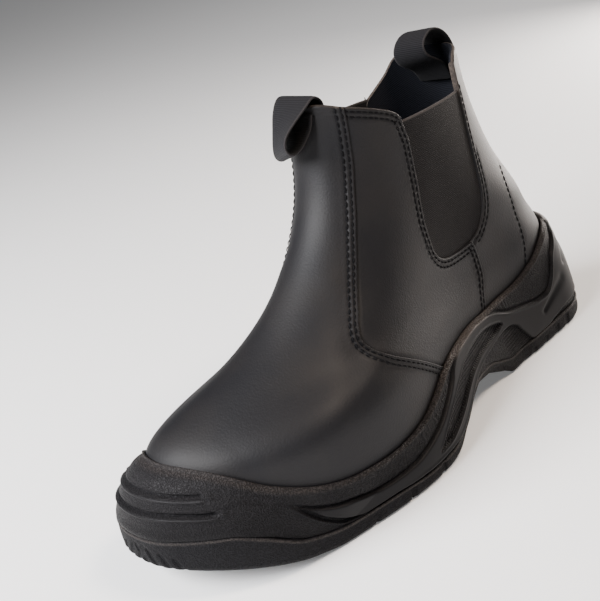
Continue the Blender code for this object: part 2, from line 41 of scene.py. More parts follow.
# The boot's own sizes in millimetres: x from the back of the heel to the toe, y to the
# outer side, z up from the floor.
form = {
    "solePlan": {"back": -4.0, "front": 311.0, "toeRound": 50.6, "heelRound": 33.7},
    "last": [
        # z   back  front  roundF roundB out: heel waist ball toe  inn: heel waist ball toe
        (10,  9.0, 286.0,  64, 46,   32.0, 35.0, 49.0, 43.0,   31.0, 27.0, 43.0, 41.0),
        (30,  5.0, 292.0,  64, 46,   35.3, 38.3, 52.3, 46.3,   34.0, 30.0, 46.0, 44.0),
        (46,  4.5, 293.4,  63, 47,   36.2, 38.4, 52.2, 46.2,   34.4, 31.4, 46.0, 44.0),
        (58,  5.0, 290.5,  66, 48,   36.2, 37.6, 50.4, 44.6,   34.0, 32.0, 44.6, 42.6),
        (66,  6.8, 280.5,  82, 49,   35.0, 35.6, 46.6, 41.4,   33.2, 31.8, 42.0, 39.8),
        (74, 10.0, 260.0, 104, 52,   34.2, 34.4, 42.4, 38.0,   33.0, 32.0, 39.0, 37.0),
        (84, 13.1, 233.0,  99, 53,   33.8, 34.0, 39.5, 35.5,   33.0, 32.5, 37.5, 35.5),
        (97, 18.6, 209.5,  93, 58,   33.3, 33.8, 37.0, 34.0,   32.8, 32.5, 35.5, 33.5),
        (112, 25.4, 191.0, 83, 64,   32.7, 33.2, 34.6, 33.0,   32.3, 32.2, 34.0, 32.5),
        (130, 30.7, 175.5, 76, 67,   32.2, 32.7, 33.2, 32.2,   32.0, 32.2, 33.0, 32.0),
        (150, 34.5, 166.0, 71, 68,   32.0, 33.0, 33.0, 32.0,   32.0, 33.0, 33.0, 32.0),
        (190, 37.2, 160.0, 64, 69,   33.4, 34.4, 34.4, 33.4,   33.4, 34.4, 34.4, 33.4),
    ],
    "stations": (40, 110, 200, 270),
    "midline": [(0, -2.8), (90, -5.0), (160, 4.6), (230, 6.4), (300, -9.5)],
    "outEdge": [(0, 35.8), (45, 36.7), (90, 39.6), (130, 49.0), (165, 60.2), (200, 62.4),
                (235, 56.7), (270, 48.0), (305, 35.1)],
    "innEdge": [(0, -37.4), (45, -36.8), (90, -34.9), (130, -33.3), (165, -36.9),
                (200, -44.3), (235, -51.4), (270, -56.1), (305, -57.0)],
    "bottom": [(-4, 2.5), (18, 0), (84, 0), (90, 3), (100, 10.3), (124, 15.5), (148, 6),
               (165, 0.8), (174, 0), (244, 0), (260, 2.2), (275, 6.2), (305, 14), (311, 15)],
    "seam": [(-4, 11), (60, 10.5), (84, 10.5), (96, 14.5), (110, 19.5), (125, 20.5),
             (140, 17.5), (155, 11.5), (170, 8), (185, 7.8), (212, 9.5), (241, 10),
             (262, 14.4), (282, 25.5), (292, 30), (311, 31.3)],
    "floor": [(0, 30), (60, 28.5), (100, 26), (125, 24.5), (150, 19.5), (175, 15.5),
              (210, 14), (250, 15), (292, 22)],
    "rim": [(-4, 61), (20, 59), (35, 54), (46, 49), (67, 43.5), (91, 43), (120, 45),
            (140, 44.5), (152, 42.5), (167, 37), (185, 31.8), (206, 30.2), (233, 31.8),
            (248, 34.5), (268, 43.3), (280, 52.6), (286, 56.6), (292, 58.9), (311, 59.0)],
    "foot": [(-4, 0.8), (62, 0.8), (74, -0.6), (150, -0.6), (168, 0.6), (255, 0.6),
             (275, 1.6), (311, 1.8)],
    "collar": [(36, 176), (52, 175), (60, 170), (118, 165), (123, 168), (133, 172.5),
               (148, 179), (161, 184)],
    "rimWall": 3.0,
}


# Cubic steps from row to row with a given slope at each row, held flat past the ends.
def cubicSteps(xs, ys, slopes):
    def value(x):
        x = np.clip(x, xs[0], xs[-1])
        i = np.clip(np.searchsorted(xs, x) - 1, 0, len(xs) - 2)
        h = xs[i + 1] - xs[i]
        t = (x - xs[i]) / h
        return (ys[i] * (1 + 2 * t) * (1 - t) ** 2 + h * slopes[i] * t * (1 - t) ** 2
                + ys[i + 1] * t * t * (3 - 2 * t) + h * slopes[i + 1] * t * t * (t - 1))
    return value


# A natural cubic through a table of two columns: the second slopes are solved so that
# the slopes meet, and the first slopes follow from them.
def naturalCurve(rows):
    xs, ys = np.array(rows, float).T
    n = len(xs)
    h = np.diff(xs)
    a, r = np.eye(n), np.zeros(n)
    for i in range(1, n - 1):
        a[i, i - 1:i + 2] = h[i - 1], 2 * (h[i - 1] + h[i]), h[i]
        r[i] = 6 * ((ys[i + 1] - ys[i]) / h[i] - (ys[i] - ys[i - 1]) / h[i - 1])
    m = np.linalg.solve(a, r)
    slopes = np.diff(ys) / h - h * (2 * m[:-1] + m[1:]) / 6
    last = (ys[-1] - ys[-2]) / h[-1] + h[-1] * (m[-2] + 2 * m[-1]) / 6
    return cubicSteps(xs, ys, np.append(slopes, last))


# A cubic from row to row whose slope is the harmonic mean of its neighbours, so that it
# never passes a row and flats stay flat.
def flatCurve(rows):
    xs, ys = np.array(rows, float).T
    h = np.diff(xs)
    d = np.diff(ys) / h
    m = np.zeros(len(xs))
    for i in range(1, len(xs) - 1):
        if d[i - 1] * d[i] > 0:
            w1, w2 = 2 * h[i] + h[i - 1], h[i] + 2 * h[i - 1]
            m[i] = (w1 + w2) / (w1 / d[i - 1] + w2 / d[i])
    return cubicSteps(xs, ys, m)


# Rounding of an end: (1 - (1 - t)^p)^(1/p), 0 at the end and 1 from t = 1 on.
def roundEnd(t, power):
    t = np.clip(t, 0.0, 1.0)
    return (1 - (1 - t) ** power) ** (1 / power)


# 0 below low, 1 above high, 3t^2 - 2t^3 between.
def ease(value, low, high):
    t = np.clip((value - low) / (high - low), 0, 1)
    return t * t * (3 - 2 * t)


# 1 between two limits: it eases in over the first pair and out over the second.
def between(value, rise, risen, fall, fallen):
    return ease(value, rise, risen) * (1 - ease(value, fall, fallen))


# Bell of a distance: exp(-(distance / width)^2).
def hill(distance, width):
    return np.exp(-(distance / width) ** 2)


def unit(vectors):
    return vectors / np.maximum(np.linalg.norm(vectors, axis=-1), 1e-9)[..., None]


# Length run along a path up to each of its points, and columns read at given lengths.
def wayAlong(points):
    return np.concatenate([[0], np.cumsum(np.linalg.norm(np.diff(points, axis=0), axis=1))])


def readAt(steps, run, table):
    return np.stack([np.interp(steps, run, column) for column in table.T], -1)


levels = np.array(form["last"], float)
sizes = [naturalCurve(levels[:, [0, i]]) for i in range(1, levels.shape[1])]
shares = [naturalCurve(np.column_stack([form["stations"], np.eye(4)[i]])) for i in range(4)]
midline, outEdge, innEdge = (naturalCurve(form[k]) for k in ("midline", "outEdge", "innEdge"))
bottomLine, seamLine, floorLine, rimLine, collarLine, footLine = (
    flatCurve(form[k]) for k in ("bottom", "seam", "floor", "rim", "collar", "foot"))


# Place around the boot, 0 at the back and 0.5 at the toe, as side and way along.
def sideAlong(around):
    around = np.mod(around, 1.0)
    return np.where(around <= 0.5, 1.0, -1.0), np.where(around <= 0.5, 2 * around, 2 - 2 * around)


# Leather's outer face: x runs from back to front as a cosine of the way along, and y is
# the midline plus the half width of that height, closed by the rounding at both ends.
def lastPoint(around, z):
    side, along = sideAlong(around)
    back, front, roundFront, roundBack = (sizes[i](z) for i in range(4))
    x = back + (front - back) * (1 - np.cos(np.pi * along)) / 2
    held = np.clip(x, 20, 290)
    outer = sum(sizes[4 + i](z) * shares[i](held) for i in range(4))
    inner = sum(sizes[8 + i](z) * shares[i](held) for i in range(4))
    width = np.where(side > 0, outer, inner)
    width = width * roundEnd((front - x) / roundFront, 2.1) * roundEnd((x - back) / roundBack, 2.1)
    return np.stack([x, midline(x) + side * width, z + 0 * x], -1)


# Outward normal of the leather: the cross product of a step up and a step around.
def leatherNormal(around, z):
    run = lastPoint(around + 2e-3, z) - lastPoint(around - 2e-3, z)
    rise = lastPoint(around, z + 0.5) - lastPoint(around, z - 0.5)
    return unit(np.cross(rise, run))


def leatherPoint(around, z, out=0.0):
    return lastPoint(around, z) + leatherNormal(around, z) * np.asarray(out)[..., None]


# Place around at which the leather has a given x at a given height: the cosine undone.
def placeAt(x, z, side):
    back, front = sizes[0](z), sizes[1](z)
    along = np.arccos(np.clip(1 - 2 * (x - back) / (front - back), -1, 1)) / np.pi
    return along / 2 if side > 0 else 1 - along / 2


# Plan point of the sole's outline: halfway between its two edges plus the half width,
# rounded at toe and heel.
def soleOutline(around):
    plan = form["solePlan"]
    side, along = sideAlong(around)
    x = plan["back"] + (plan["front"] - plan["back"]) * (1 - np.cos(np.pi * along)) / 2
    top, low = outEdge(x), innEdge(x)
    width = (top - low) / 2 * roundEnd((plan["front"] - x) / plan["toeRound"], 2.2) \
        * roundEnd((x - plan["back"]) / plan["heelRound"], 2.2)
    return np.stack([x, (top + low) / 2 + side * width], -1)


def soleNormal(around):
    run = unit(soleOutline(around + 2e-3) - soleOutline(around - 2e-3))
    return np.stack([-run[..., 1], run[..., 0]], -1)


# Height of the foxing's rim, looked up four times so that it is read where the rim lies.
def rimHeight(around):
    x = soleOutline(around)[..., 0]
    for _ in range(4):
        x = leatherPoint(around, rimLine(x), form["rimWall"])[..., 0]
    return rimLine(x)


# Side of the sole: upright from the outline, then leaning in to the leather by a power
# of the height, pushed outward by the relief.
def foxingPoint(around, z, relief=0.0):
    top = rimHeight(around)
    foot = soleOutline(around)
    cover = leatherPoint(around, np.maximum(z, 12.0), form["rimWall"])[..., :2]
    power = 1.7 + 1.5 * np.clip((foot[..., 0] - 255) / 30, 0, 1)
    lean = np.clip((z - 12) / (top - 12), 0, 1) ** power
    normal = soleNormal(around)
    short = np.maximum(0, -np.sum((foot - cover) * normal, -1))
    plan = cover + (foot + normal * short[..., None] - cover) * (1 - lean[..., None])
    plan = plan + normal * np.asarray(relief)[..., None]
    return np.concatenate([plan, (z + 0 * plan[..., 0])[..., None]], -1)


# Even walk along a smooth curve through points of any dimension.
def smoothPath(points, count):
    points = np.array(points, float)
    way = wayAlong(points)
    curves = [flatCurve(np.column_stack([way, column])) for column in points.T]
    fine = np.linspace(0, way[-1], 12 * len(points))
    path = np.stack([c(fine) for c in curves], -1)
    run = wayAlong(path)
    return readAt(np.linspace(0, run[-1], count), run, path)


# Positions from 0 to 1 along a length: the first and last insets in millimetres, and
# even steps between them.
def spread(length, first, last, count):
    length = np.asarray(length, float)[..., None]
    first, last = np.array(first, float), np.array(last, float)
    fit = np.minimum(1, 0.45 * length / max(first[-1], last[-1], 1e-6))
    a, b = first * fit / length, 1 - (last * fit / length)[..., ::-1]
    t = np.arange(1, count + 1) / (count + 1)
    return np.concatenate([a, a[..., -1:] + (b[..., :1] - a[..., -1:]) * t, b], -1)


# Distance of each point to the nearest point of a path, and how far along the path that is.
def nearOf(points, path):
    flat = points.reshape(-1, 3)
    run = wayAlong(path)
    far, way = np.empty(len(flat)), np.empty(len(flat))
    a, ab = path[:-1], np.diff(path, axis=0)
    size = np.maximum(np.sum(ab * ab, -1), 1e-9)
    for s in range(0, len(flat), 4000):
        ap = flat[s:s + 4000, None] - a
        t = np.clip(np.sum(ap * ab, -1) / size, 0, 1)
        gap = np.linalg.norm(ap - ab * t[..., None], axis=-1)
        k = np.argmin(gap, 1)
        row = np.arange(len(k))
        far[s:s + 4000] = gap[row, k]
        way[s:s + 4000] = run[k] + t[row, k] * (run[k + 1] - run[k])
    return far.reshape(points.shape[:-1]), way.reshape(points.shape[:-1])


# Quads of a grid of rows and columns, with either direction closed if asked.
def gridFaces(rows, cols, closeRows=False, closeCols=False):
    r = np.arange(rows if closeRows else rows - 1)[:, None]
    c = np.arange(cols if closeCols else cols - 1)[None, :]
    r2, c2 = (r + 1) % rows, (c + 1) % cols
    return np.stack([r * cols + c, r * cols + c2, r2 * cols + c2, r2 * cols + c], -1).reshape(-1, 4)


def newObject(name, data):
    piece = bpy.data.objects.new(name, data)
    bpy.context.scene.collection.objects.link(piece)
    return piece


# Quads of a slab: an outer grid, an inner grid turned over, and the border between them.
def slabFaces(rows, cols):
    quads, count = gridFaces(rows, cols), rows * cols
    grid = np.arange(count).reshape(rows, cols)
    loop = np.concatenate([grid[0, :-1], grid[:-1, -1], grid[-1, :0:-1], grid[:0:-1, 0]])
    after = np.roll(loop, -1)
    border = np.column_stack([after, loop, loop + count, after + count])
    return np.concatenate([quads, quads[:, ::-1] + count, border])


# Mesh of points in the boot's own millimetres, quads as an array and an optional slot per
# face and value per vertex. The piece rides on the root and stands for the named nodes.
# facing turns the faces outward: "closed" from the middle, 1 from a line through the boot.
def makePiece(name, points, quads, materials, nodes=(), slots=None, values=None,
              facing=None):
    points = (np.asarray(points, float).reshape(-1, 3) - planCentre) * mm
    quads = np.asarray(quads)
    if facing is not None:
        corner = points[quads]
        normal = np.cross(corner[:, 2] - corner[:, 0], corner[:, 3] - corner[:, 1])
        middle = corner.mean(1)
        if facing == "closed":
            total = np.sum(normal * (middle - points.mean(0)))
        else:
            inside = np.column_stack([np.clip(middle[:, 0], -0.09, 0.09), 0 * middle[:, 0],
                                      0 * middle[:, 0] + 0.03])
            total = np.sum(normal * (middle - inside)) * facing
        if total < 0:
            quads = quads[:, ::-1]
    mesh = bpy.data.meshes.new(name)
    mesh.vertices.add(len(points))
    mesh.vertices.foreach_set("co", points.ravel())
    mesh.loops.add(quads.size)
    mesh.loops.foreach_set("vertex_index", quads.ravel())
    mesh.polygons.add(len(quads))
    mesh.polygons.foreach_set("loop_start", np.arange(0, quads.size, 4))
    mesh.update(calc_edges=True)
    for material in materials:
        mesh.materials.append(material)
    if slots is not None:
        mesh.polygons.foreach_set("material_index", np.asarray(slots, np.int32))
    mesh.shade_smooth()
    for key, value in (values or {}).items():
        layer = mesh.attributes.new(key, "FLOAT", "POINT")
        layer.data.foreach_set("value", np.asarray(value, np.float32).ravel())
    mesh.validate()
    piece = newObject(name, mesh)
    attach(piece, "root")
    if nodes:
        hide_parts(*nodes)
    return piece


# One socket of a material's nodes. Arithmetic on it adds the Math node for that sign.
class Flow:
    def __init__(self, tree, socket):
        self.tree, self.socket = tree, socket

    def math(self, operation, *values):
        node = self.tree.nodes.new("ShaderNodeMath")
        node.operation = operation
        for place, value in enumerate(values):
            if isinstance(value, Flow):
                self.tree.links.new(value.socket, node.inputs[place])
            else:
                node.inputs[place].default_value = value
        return Flow(self.tree, node.outputs[0])

    def __add__(self, other): return self.math("ADD", self, other)
    def __radd__(self, other): return self.math("ADD", other, self)
    def __sub__(self, other): return self.math("SUBTRACT", self, other)
    def __rsub__(self, other): return self.math("SUBTRACT", other, self)
    def __mul__(self, other): return self.math("MULTIPLY", self, other)
    def __rmul__(self, other): return self.math("MULTIPLY", other, self)
    def sine(self, length): return self.math("SINE", self * (2 * np.pi / length))
    def least(self, other): return self.math("MINIMUM", self, other)
    def most(self, other): return self.math("MAXIMUM", self, other)

    # 0 below low, 1 above high, smooth between
    def ease(self, low, high):
        node = self.tree.nodes.new("ShaderNodeMapRange")
        node.interpolation_type = "SMOOTHSTEP"
        self.tree.links.new(self.socket, node.inputs[0])
        node.inputs[1].default_value, node.inputs[2].default_value = low, high
        return Flow(self.tree, node.outputs[0])


# A material with its Principled shader, and methods that add other nodes to it.
class Finish:
    def __init__(self, name, **fixed):
        self.material = bpy.data.materials.new(name)
        self.material.use_nodes = True
        self.tree = self.material.node_tree
        self.shader = self.tree.nodes["Principled BSDF"]
        for key, value in fixed.items():
            self.shader.inputs[key.replace("_", " ")].default_value = value

    def node(self, kind, settings=None, inputs=None, output=0):
        node = self.tree.nodes.new(kind)
        for key, value in (settings or {}).items():
            setattr(node, key, value)
        for key, value in (inputs or {}).items():
            if isinstance(value, Flow):
                self.tree.links.new(value.socket, node.inputs[key])
            else:
                node.inputs[key].default_value = value
        return Flow(self.tree, node.outputs[output])

    def place(self):
        return self.node("ShaderNodeTexCoord", output=3)

    def value(self, name):
        return self.node("ShaderNodeAttribute", {"attribute_name": name}, output=2)

    def noise(self, scale, detail=3.0, rough=0.5):
        return self.node("ShaderNodeTexNoise", {}, {"Vector": self.place(), "Scale": scale,
                         "Detail": detail, "Roughness": rough})

    # noise drawn out along the axes that are given less than one
    def streaks(self, scale, stretch):
        place = self.node("ShaderNodeVectorMath", {"operation": "MULTIPLY"},
                          {0: self.place(), 1: stretch})
        return self.node("ShaderNodeTexNoise", {}, {"Vector": place, "Scale": scale, "Detail": 2.0})

    # the given axes of the place, 0 for x and 2 for z
    def axes(self, *numbers):
        return [self.node("ShaderNodeSeparateXYZ", {}, {0: self.place()}, k) for k in numbers]

    # distance to the nearest of scattered points, smoothed if a smoothness is given
    def cells(self, scale, smooth=None):
        inputs = {"Vector": self.place(), "Scale": scale}
        if smooth is None:
            return self.node("ShaderNodeTexVoronoi", {}, inputs)
        return self.node("ShaderNodeTexVoronoi", {"feature": "SMOOTH_F1"},
                         {**inputs, "Smoothness": smooth})

    def blend(self, share, low, high):
        return self.node("ShaderNodeMix", {"data_type": "RGBA"},
                         {0: share, 6: (*low, 1.0) if isinstance(low, tuple) else low,
                          7: (*high, 1.0) if isinstance(high, tuple) else high}, 2)

    # heights in millimetres, each with its strength, laid over one another
    def bump(self, *heights):
        normal = None
        for height, strength in heights:
            inputs = {"Height": height, "Strength": strength, "Distance": mm}
            if normal is not None:
                inputs["Normal"] = normal
            normal = self.node("ShaderNodeBump", {}, inputs)
        self.feed("Normal", normal)

    def feed(self, key, value):
        if isinstance(value, Flow):
            self.tree.links.new(value.socket, self.shader.inputs[key])
        else:
            self.shader.inputs[key].default_value = value


print("stage: finishes")
look = {
    "leather": (0.0062, 0.0061, 0.0074), "leatherWarm": (0.0092, 0.0085, 0.0090),
    "leatherRough": 0.50, "dust": (0.06, 0.056, 0.056), "rawEdge": (0.095, 0.076, 0.064),
    "shade": (0.0022, 0.0022, 0.0028),        # stitch rows, and the hollow of a loop
    "lining": (0.0030, 0.0033, 0.0048), "liningTop": (0.010, 0.011, 0.015),
    "elastic": (0.0014, 0.0014, 0.0018), "elasticTop": (0.0095, 0.0088, 0.0095),
    "elasticHem": (0.040, 0.035, 0.034), "elasticCloud": (0.012, 0.0105, 0.010),
    "webbing": (0.0020, 0.0020, 0.0026), "webbingTop": (0.0120, 0.0115, 0.0135),
    "webbingEdge": (0.045, 0.040, 0.040),
    "rubber": (0.0058, 0.0052, 0.0060), "tread": (0.0026, 0.0025, 0.0031),
    "toeHighlight": (0.036, 0.034, 0.037), "rubberDeep": (0.0012, 0.0012, 0.0016),
    "rubberHighlight": (0.095, 0.080, 0.072),
    "thread": (0.0022, 0.0022, 0.0028), "threadTop": (0.006, 0.006, 0.007),
    "footbed": (0.03, 0.03, 0.034), "footbedTop": (0.06, 0.06, 0.068),
}


# Full-grain leather: two sizes of pebble from smooth cells, softened by noise, with large
# cloudy changes of gloss; edge turns it to raw cut leather, and painted shade darkens the stitch
# rows.
def makeLeather():
    f = Finish("leather_black", Specular_IOR_Level=0.16, Coat_Roughness=0.40)
    clouds = f.noise(26, 3, 0.55)
    fine = f.noise(900, 3, 0.6)
    pebble, grain = f.cells(2300, 0.6), f.cells(980, 0.5)
    edge, stitchShade = f.value("edge"), f.value("stitchShade")
    dust = f.noise(2600, 2, 0.5).ease(0.62, 0.74) * f.noise(60, 2, 0.5).ease(0.45, 0.7)
    base = f.blend(clouds.ease(0.35, 0.7), look["leather"], look["leatherWarm"])
    base = f.blend(dust * 0.10, base, look["dust"])
    # painted shade in the stitch rows, darkest at each hole
    base = f.blend(stitchShade * 0.7, base, look["shade"])
    fray = f.noise(700, 4, 0.7).ease(0.3, 0.7)
    base = f.blend(edge * (0.35 + 0.65 * fray), base, look["rawEdge"])
    f.feed("Base Color", base)
    rough = look["leatherRough"] + 0.10 * clouds + 0.05 * fine + 0.4 * edge
    f.feed("Roughness", rough.least(1.0))
    f.feed("Coat Weight", (0.08 * (1 - edge)).most(0.0))
    f.bump((grain * 0.10 + pebble * 0.05, 0.8), (fine * 0.05, 0.7), (edge * fray * 0.5, 0.8))
    return f.material


# Ribbed lining cloth: waves that climb slowly from the heel to the toe, and fuzz.
def makeLining():
    f = Finish("lining_cloth", Roughness=0.92, Specular_IOR_Level=0.10)
    x, z = f.axes(0, 2)
    ribs = (z + 0.35 * x).sine(0.0011) * 0.5 + 0.5
    fuzz = f.noise(1800, 3, 0.6)
    f.feed("Base Color", f.blend(ribs * 0.6 + fuzz * 0.4, look["lining"], look["liningTop"]))
    f.bump((ribs * 0.18 + fuzz * 0.08, 0.8))
    return f.material


# Elastic: the ribs are in the mesh, rubbed threads in the bump, each rib's top a bit paler.
def makeElastic():
    f = Finish("gore_elastic", Roughness=0.9, Specular_IOR_Level=0.12, Sheen_Weight=0.03)
    weave, clouds = f.noise(2600, 2, 0.6), f.noise(60, 3, 0.5)
    base = f.blend(f.value("rib") * 0.75 + weave * 0.25, look["elastic"], look["elasticTop"])
    base = f.blend(f.value("selvedge"), base, look["elasticHem"])
    base = f.blend(clouds.ease(0.45, 0.75) * 0.25, base, look["elasticCloud"])
    f.feed("Base Color", base)
    f.bump((weave * 0.10, 0.7))
    return f.material


# Webbing: the weft ribs are in the mesh, and each rib's top is paler; painted shade darkens the
# loop's hollow and its end in the shaft.
def makeWebbing():
    f = Finish("loop_webbing", Roughness=0.88, Specular_IOR_Level=0.12, Sheen_Weight=0.03)
    weave = f.noise(2200, 2, 0.6)
    base = f.blend(f.value("rib") * 0.8 + weave * 0.2, look["webbing"], look["webbingTop"])
    base = f.blend(f.value("selvedge") * 0.35, base, look["webbingEdge"])
    f.feed("Base Color", f.blend(f.value("shadeAndTone"), base, look["shade"]))
    f.bump((weave * 0.12, 0.7))
    return f.material


# Moulded rubber: stipple is a spark-eroded texture of clipped noise, smooth is semi-gloss.
# Over it lie painted highlights on the toe and on ridges, painted shade in the rand's nicks, and
# one even darker tone on the foxing; brushed, barred and knurled are relief.
def makeRubber(name, colour, baseRough):
    f = Finish(name, Specular_IOR_Level=0.11)
    smooth = f.value("smooth")
    stipple = f.noise(1250, 2, 0.5).ease(0.42, 0.60)
    fine, clouds = f.noise(3200, 2, 0.5), f.noise(35, 3, 0.5)
    pale, even = (tuple(c * share for c in colour) for share in (3.6, 1.25))
    # stipple tips paler: painted glints on the stipple; clouds vary the tone at random
    base = f.blend(stipple * 0.45 * (1 - smooth) + clouds * 0.25, colour, pale)
    base = f.blend(smooth * 0.55, base, even)
    # painted highlight on the toe's front and top
    base = f.blend(f.value("frontHighlight") * (0.35 + 0.65 * stipple), base, look["toeHighlight"])
    # painted shade in the rand's nicks and notches; over the whole foxing one even darker tone of
    # the rubber
    base = f.blend(f.value("shadeAndTone") * 0.8, base, look["rubberDeep"])
    # painted warm highlight along the foxing's rim and on the rand's bead
    base = f.blend(f.value("ridgeHighlight") * (0.25 + 0.5 * stipple), base, look["rubberHighlight"])
    f.feed("Base Color", base)
    f.feed("Roughness", baseRough - 0.16 * smooth + 0.10 * clouds - 0.06 * stipple * (1 - smooth))
    x, z = f.axes(0, 2)
    ridges = f.streaks(720, (1.0, 1.0, 0.22)).ease(0.4, 0.62) * f.value("brushed")
    bars = (x.sine(0.0015) * 0.5 + 0.5) * f.value("barred")
    knurls = (x + z).sine(0.0024) * (x - z).sine(0.0024) * f.value("knurled")
    f.bump((stipple * (1 - smooth) * 0.42, 1.0), (ridges * 0.45 + bars * 0.5 + knurls * 1.1, 1.0),
           (fine * 0.03, 0.5))
    return f.material


# Thread: noise as its twist.
def makeThread():
    f = Finish("stitch_thread", Roughness=0.75, Specular_IOR_Level=0.06)
    twist = f.noise(5200, 2, 0.5)
    f.feed("Base Color", f.blend(twist, look["thread"], look["threadTop"]))
    f.bump((twist * 0.08, 0.8))
    return f.material


# Footbed cloth: a weave of cells with fuzz.
def makeFootbedCloth():
    f = Finish("footbed_cloth", Roughness=0.93, Specular_IOR_Level=0.25)
    weave, fuzz = f.cells(1300), f.noise(2200, 3, 0.6)
    f.feed("Base Color", f.blend(weave * 0.5 + fuzz * 0.4, look["footbed"], look["footbedTop"]))
    f.bump((weave * 0.15 + fuzz * 0.08, 0.8))
    return f.material


leather, lining, elastic, webbing = makeLeather(), makeLining(), makeElastic(), makeWebbing()
rubber = makeRubber("foxing_rubber_black", look["rubber"], 0.56)
treadRubber = makeRubber("outsole_rubber_black", look["tread"], 0.66)
thread, footbedCloth = makeThread(), makeFootbedCloth()

print("stage: seams")
# Seam lines in side view, x and z, the same on both sides apart from the rear's top.
seams = {
    # the vamp's edge over the quarter: z, x
    "vampEdge": [(10, 122), (24, 131), (36, 144), (54.8, 166.5), (62.5, 177.5), (69, 186.5),
                 (75, 192), (79, 193.3), (84, 190.8), (90.7, 185.2), (109.9, 171.3),
                 (135.1, 157.5), (158.1, 150.4), (178.6, 148.2), (192, 148.2)],
    # the front quarter's inner border: the window's front and bottom
    "window": [(118.2, 163), (117.3, 158), (115.8, 149), (117.3, 129), (119.6, 117), (121.2, 105),
               (120.8, 94), (118.4, 87.6), (112.6, 83.0), (104, 80.8), (95, 80.0), (85.6, 79.9)],
    # its outer border, hidden under the vamp and inside the foxing
    "underVamp": [(156, 181.5), (157.5, 160), (164.5, 137), (178, 113), (191, 95), (200, 84),
                  (201, 74), (194, 66), (184, 56), (172, 44), (160, 33), (140, 26), (115, 27),
                  (93, 30)],
    "topEdge": [(118.2, 163), (120.2, 165.6), (124.5, 168.6), (133.2, 172.8), (148.8, 179.2),
                (156, 181.5)],
    "rearEdge": [(85.6, 79.9), (84.0, 76), (83.4, 70), (84.2, 62.7), (88.5, 52), (90.5, 44),
                 (92, 36), (93, 30)],
    # the rear quarter's border: z, x
    "rearBorder": [(20, 101), (40, 101), (62, 93.5), (76, 92.5), (79.2, 88), (80.4, 84),
                   (81.6, 80.5), (83.2, 77.6), (86.4, 74), (90, 71.3)],
    # its upper part; on the inner side it runs forward again, and slopes up to the collar
    "rearTop": {1: [(97, 68), (108, 65), (130, 61.5), (156, 58.9), (180, 58.2)],
                -1: [(97, 68.5), (108, 67), (130, 67.5), (148, 72.0), (157, 75.6),
                     (160.5, 74.2), (164, 69.6), (168.5, 63.2), (172, 57.8), (175, 50)]},
    "back": [(36.1, 103.9), (40, 96), (42.2, 85.6), (42.4, 71.7), (45, 59.5), (49.5, 46.0)],
    "goreTop": [(59, 156), (118, 160.5)],
    "pitch": 3.5, "thread": 0.42, "trough": 0.34,
    "leather": 2.8,        # leather and lining together
}
vampEdge = flatCurve(seams["vampEdge"])
rearBorders = {side: flatCurve(seams["rearBorder"] + top) for side, top in seams["rearTop"].items()}
sideName = {1: "lateral", -1: "medial"}


# Points of a side-view path on the leather, with its normals.
def onLeather(path, side, out=0.0):
    path = np.asarray(path, float)
    around = placeAt(path[:, 0], path[:, 1], side)
    return leatherPoint(around, path[:, 1], np.full(len(path), float(out))), \
        leatherNormal(around, path[:, 1])


# A side-view path moved along the leather by a distance: each point steps across the
# path in the surface, and is read back as x and z. Positive steps go to the right of
# the path's run, seen from outside on the outer side.
def besidePath(path, side, step):
    points, normals = onLeather(path, side)
    run = unit(np.gradient(points, axis=0))
    across = np.cross(run, normals) * side
    moved = points + across * np.asarray(step)[..., None]
    return moved[:, [0, 2]]


# The same path on the side of it that lies nearer a point of the side view.
def towardPath(path, side, step, near):
    near = np.array(near, float)
    tries = [besidePath(path, side, s) for s in (step, -step)]
    gaps = [np.linalg.norm(t - near, axis=1).mean() for t in tries]
    return tries[int(np.argmin(gaps))]


# Way along a list of points by share of its length.
def walker(points, fine=400):
    path = smoothPath(points, fine)
    share = np.linspace(0, 1, fine)
    return lambda t: readAt(t, share, path)


zFine = np.linspace(180.5, 34, 300)
vampSeam = smoothPath(np.column_stack([vampEdge(zFine), zFine])[::3], 240)
windowPath = walker(seams["window"])(np.linspace(0, 1, 160))
topPath = walker(seams["topEdge"][:-1])(np.linspace(0, 1, 60))
borderPath = np.concatenate([topPath[:0:-1], windowPath])
rearPath = walker(seams["rearEdge"])(np.linspace(0, 0.86, 60))
zRear = np.linspace(81.0, 160, 120)
goreRear = {side: np.column_stack([rearBorders[side](zRear), zRear]) for side in (1, -1)}
backPath = walker(seams["back"])(np.linspace(0, 1, 60))

# Stitch rows: piece that carries them, path, height over the leather's plain face, side.
stitchRows = {
    "vamp": [(towardPath(vampSeam, 1, gap, (300, 100)), 0.62) for gap in (1.8, 4.4)],
    "front": [(towardPath(borderPath, 1, gap, (190, 80)), 0.02) for gap in (2.0, 4.6)]
             + [(towardPath(rearPath, 1, gap, (150, 55)), 0.35) for gap in (1.8, 4.3)],
    "rear": [(towardPath(goreRear[side][:end], side, gap, (30, 100)), -0.1, side)
             for side in (1, -1) for gap, end in ((1.9, 116), (4.5, 64))] + [(backPath, -0.12)],
}
# a row that names no side is sewn on both
stitchRows = {name: [(path, lift, side) for path, lift, *sides in rows
                     for side in (sides or (1, -1))] for name, rows in stitchRows.items()}


# Depth of the troughs that stitch rows press into the leather, at points on one side: a
# bell of the distance to each row, deeper at each hole of the pitch. Also the painted shade of the
# rows, darker at each hole.
def stitchTrough(points, rows, side):
    low, dark = np.zeros(points.shape[:-1]), np.zeros(points.shape[:-1])
    for line in [onLeather(path, side)[0] for path, _, on in rows if on == side]:
        far, way = nearOf(points, line)
        hole = 0.5 + 0.5 * np.cos(2 * np.pi * way / seams["pitch"])
        low = np.maximum(low, seams["trough"] * hill(far, 0.85) * (0.65 + 0.5 * hole))
        dark = np.maximum(dark, hill(far, 0.55) * (0.35 + 0.65 * hole))
    return low, dark


# The same for the rows of one piece on both sides together.
def bothTroughs(points, name):
    sides = [stitchTrough(points, stitchRows[name], side) for side in (1, -1)]
    return [np.maximum(a, b) for a, b in zip(*sides)]
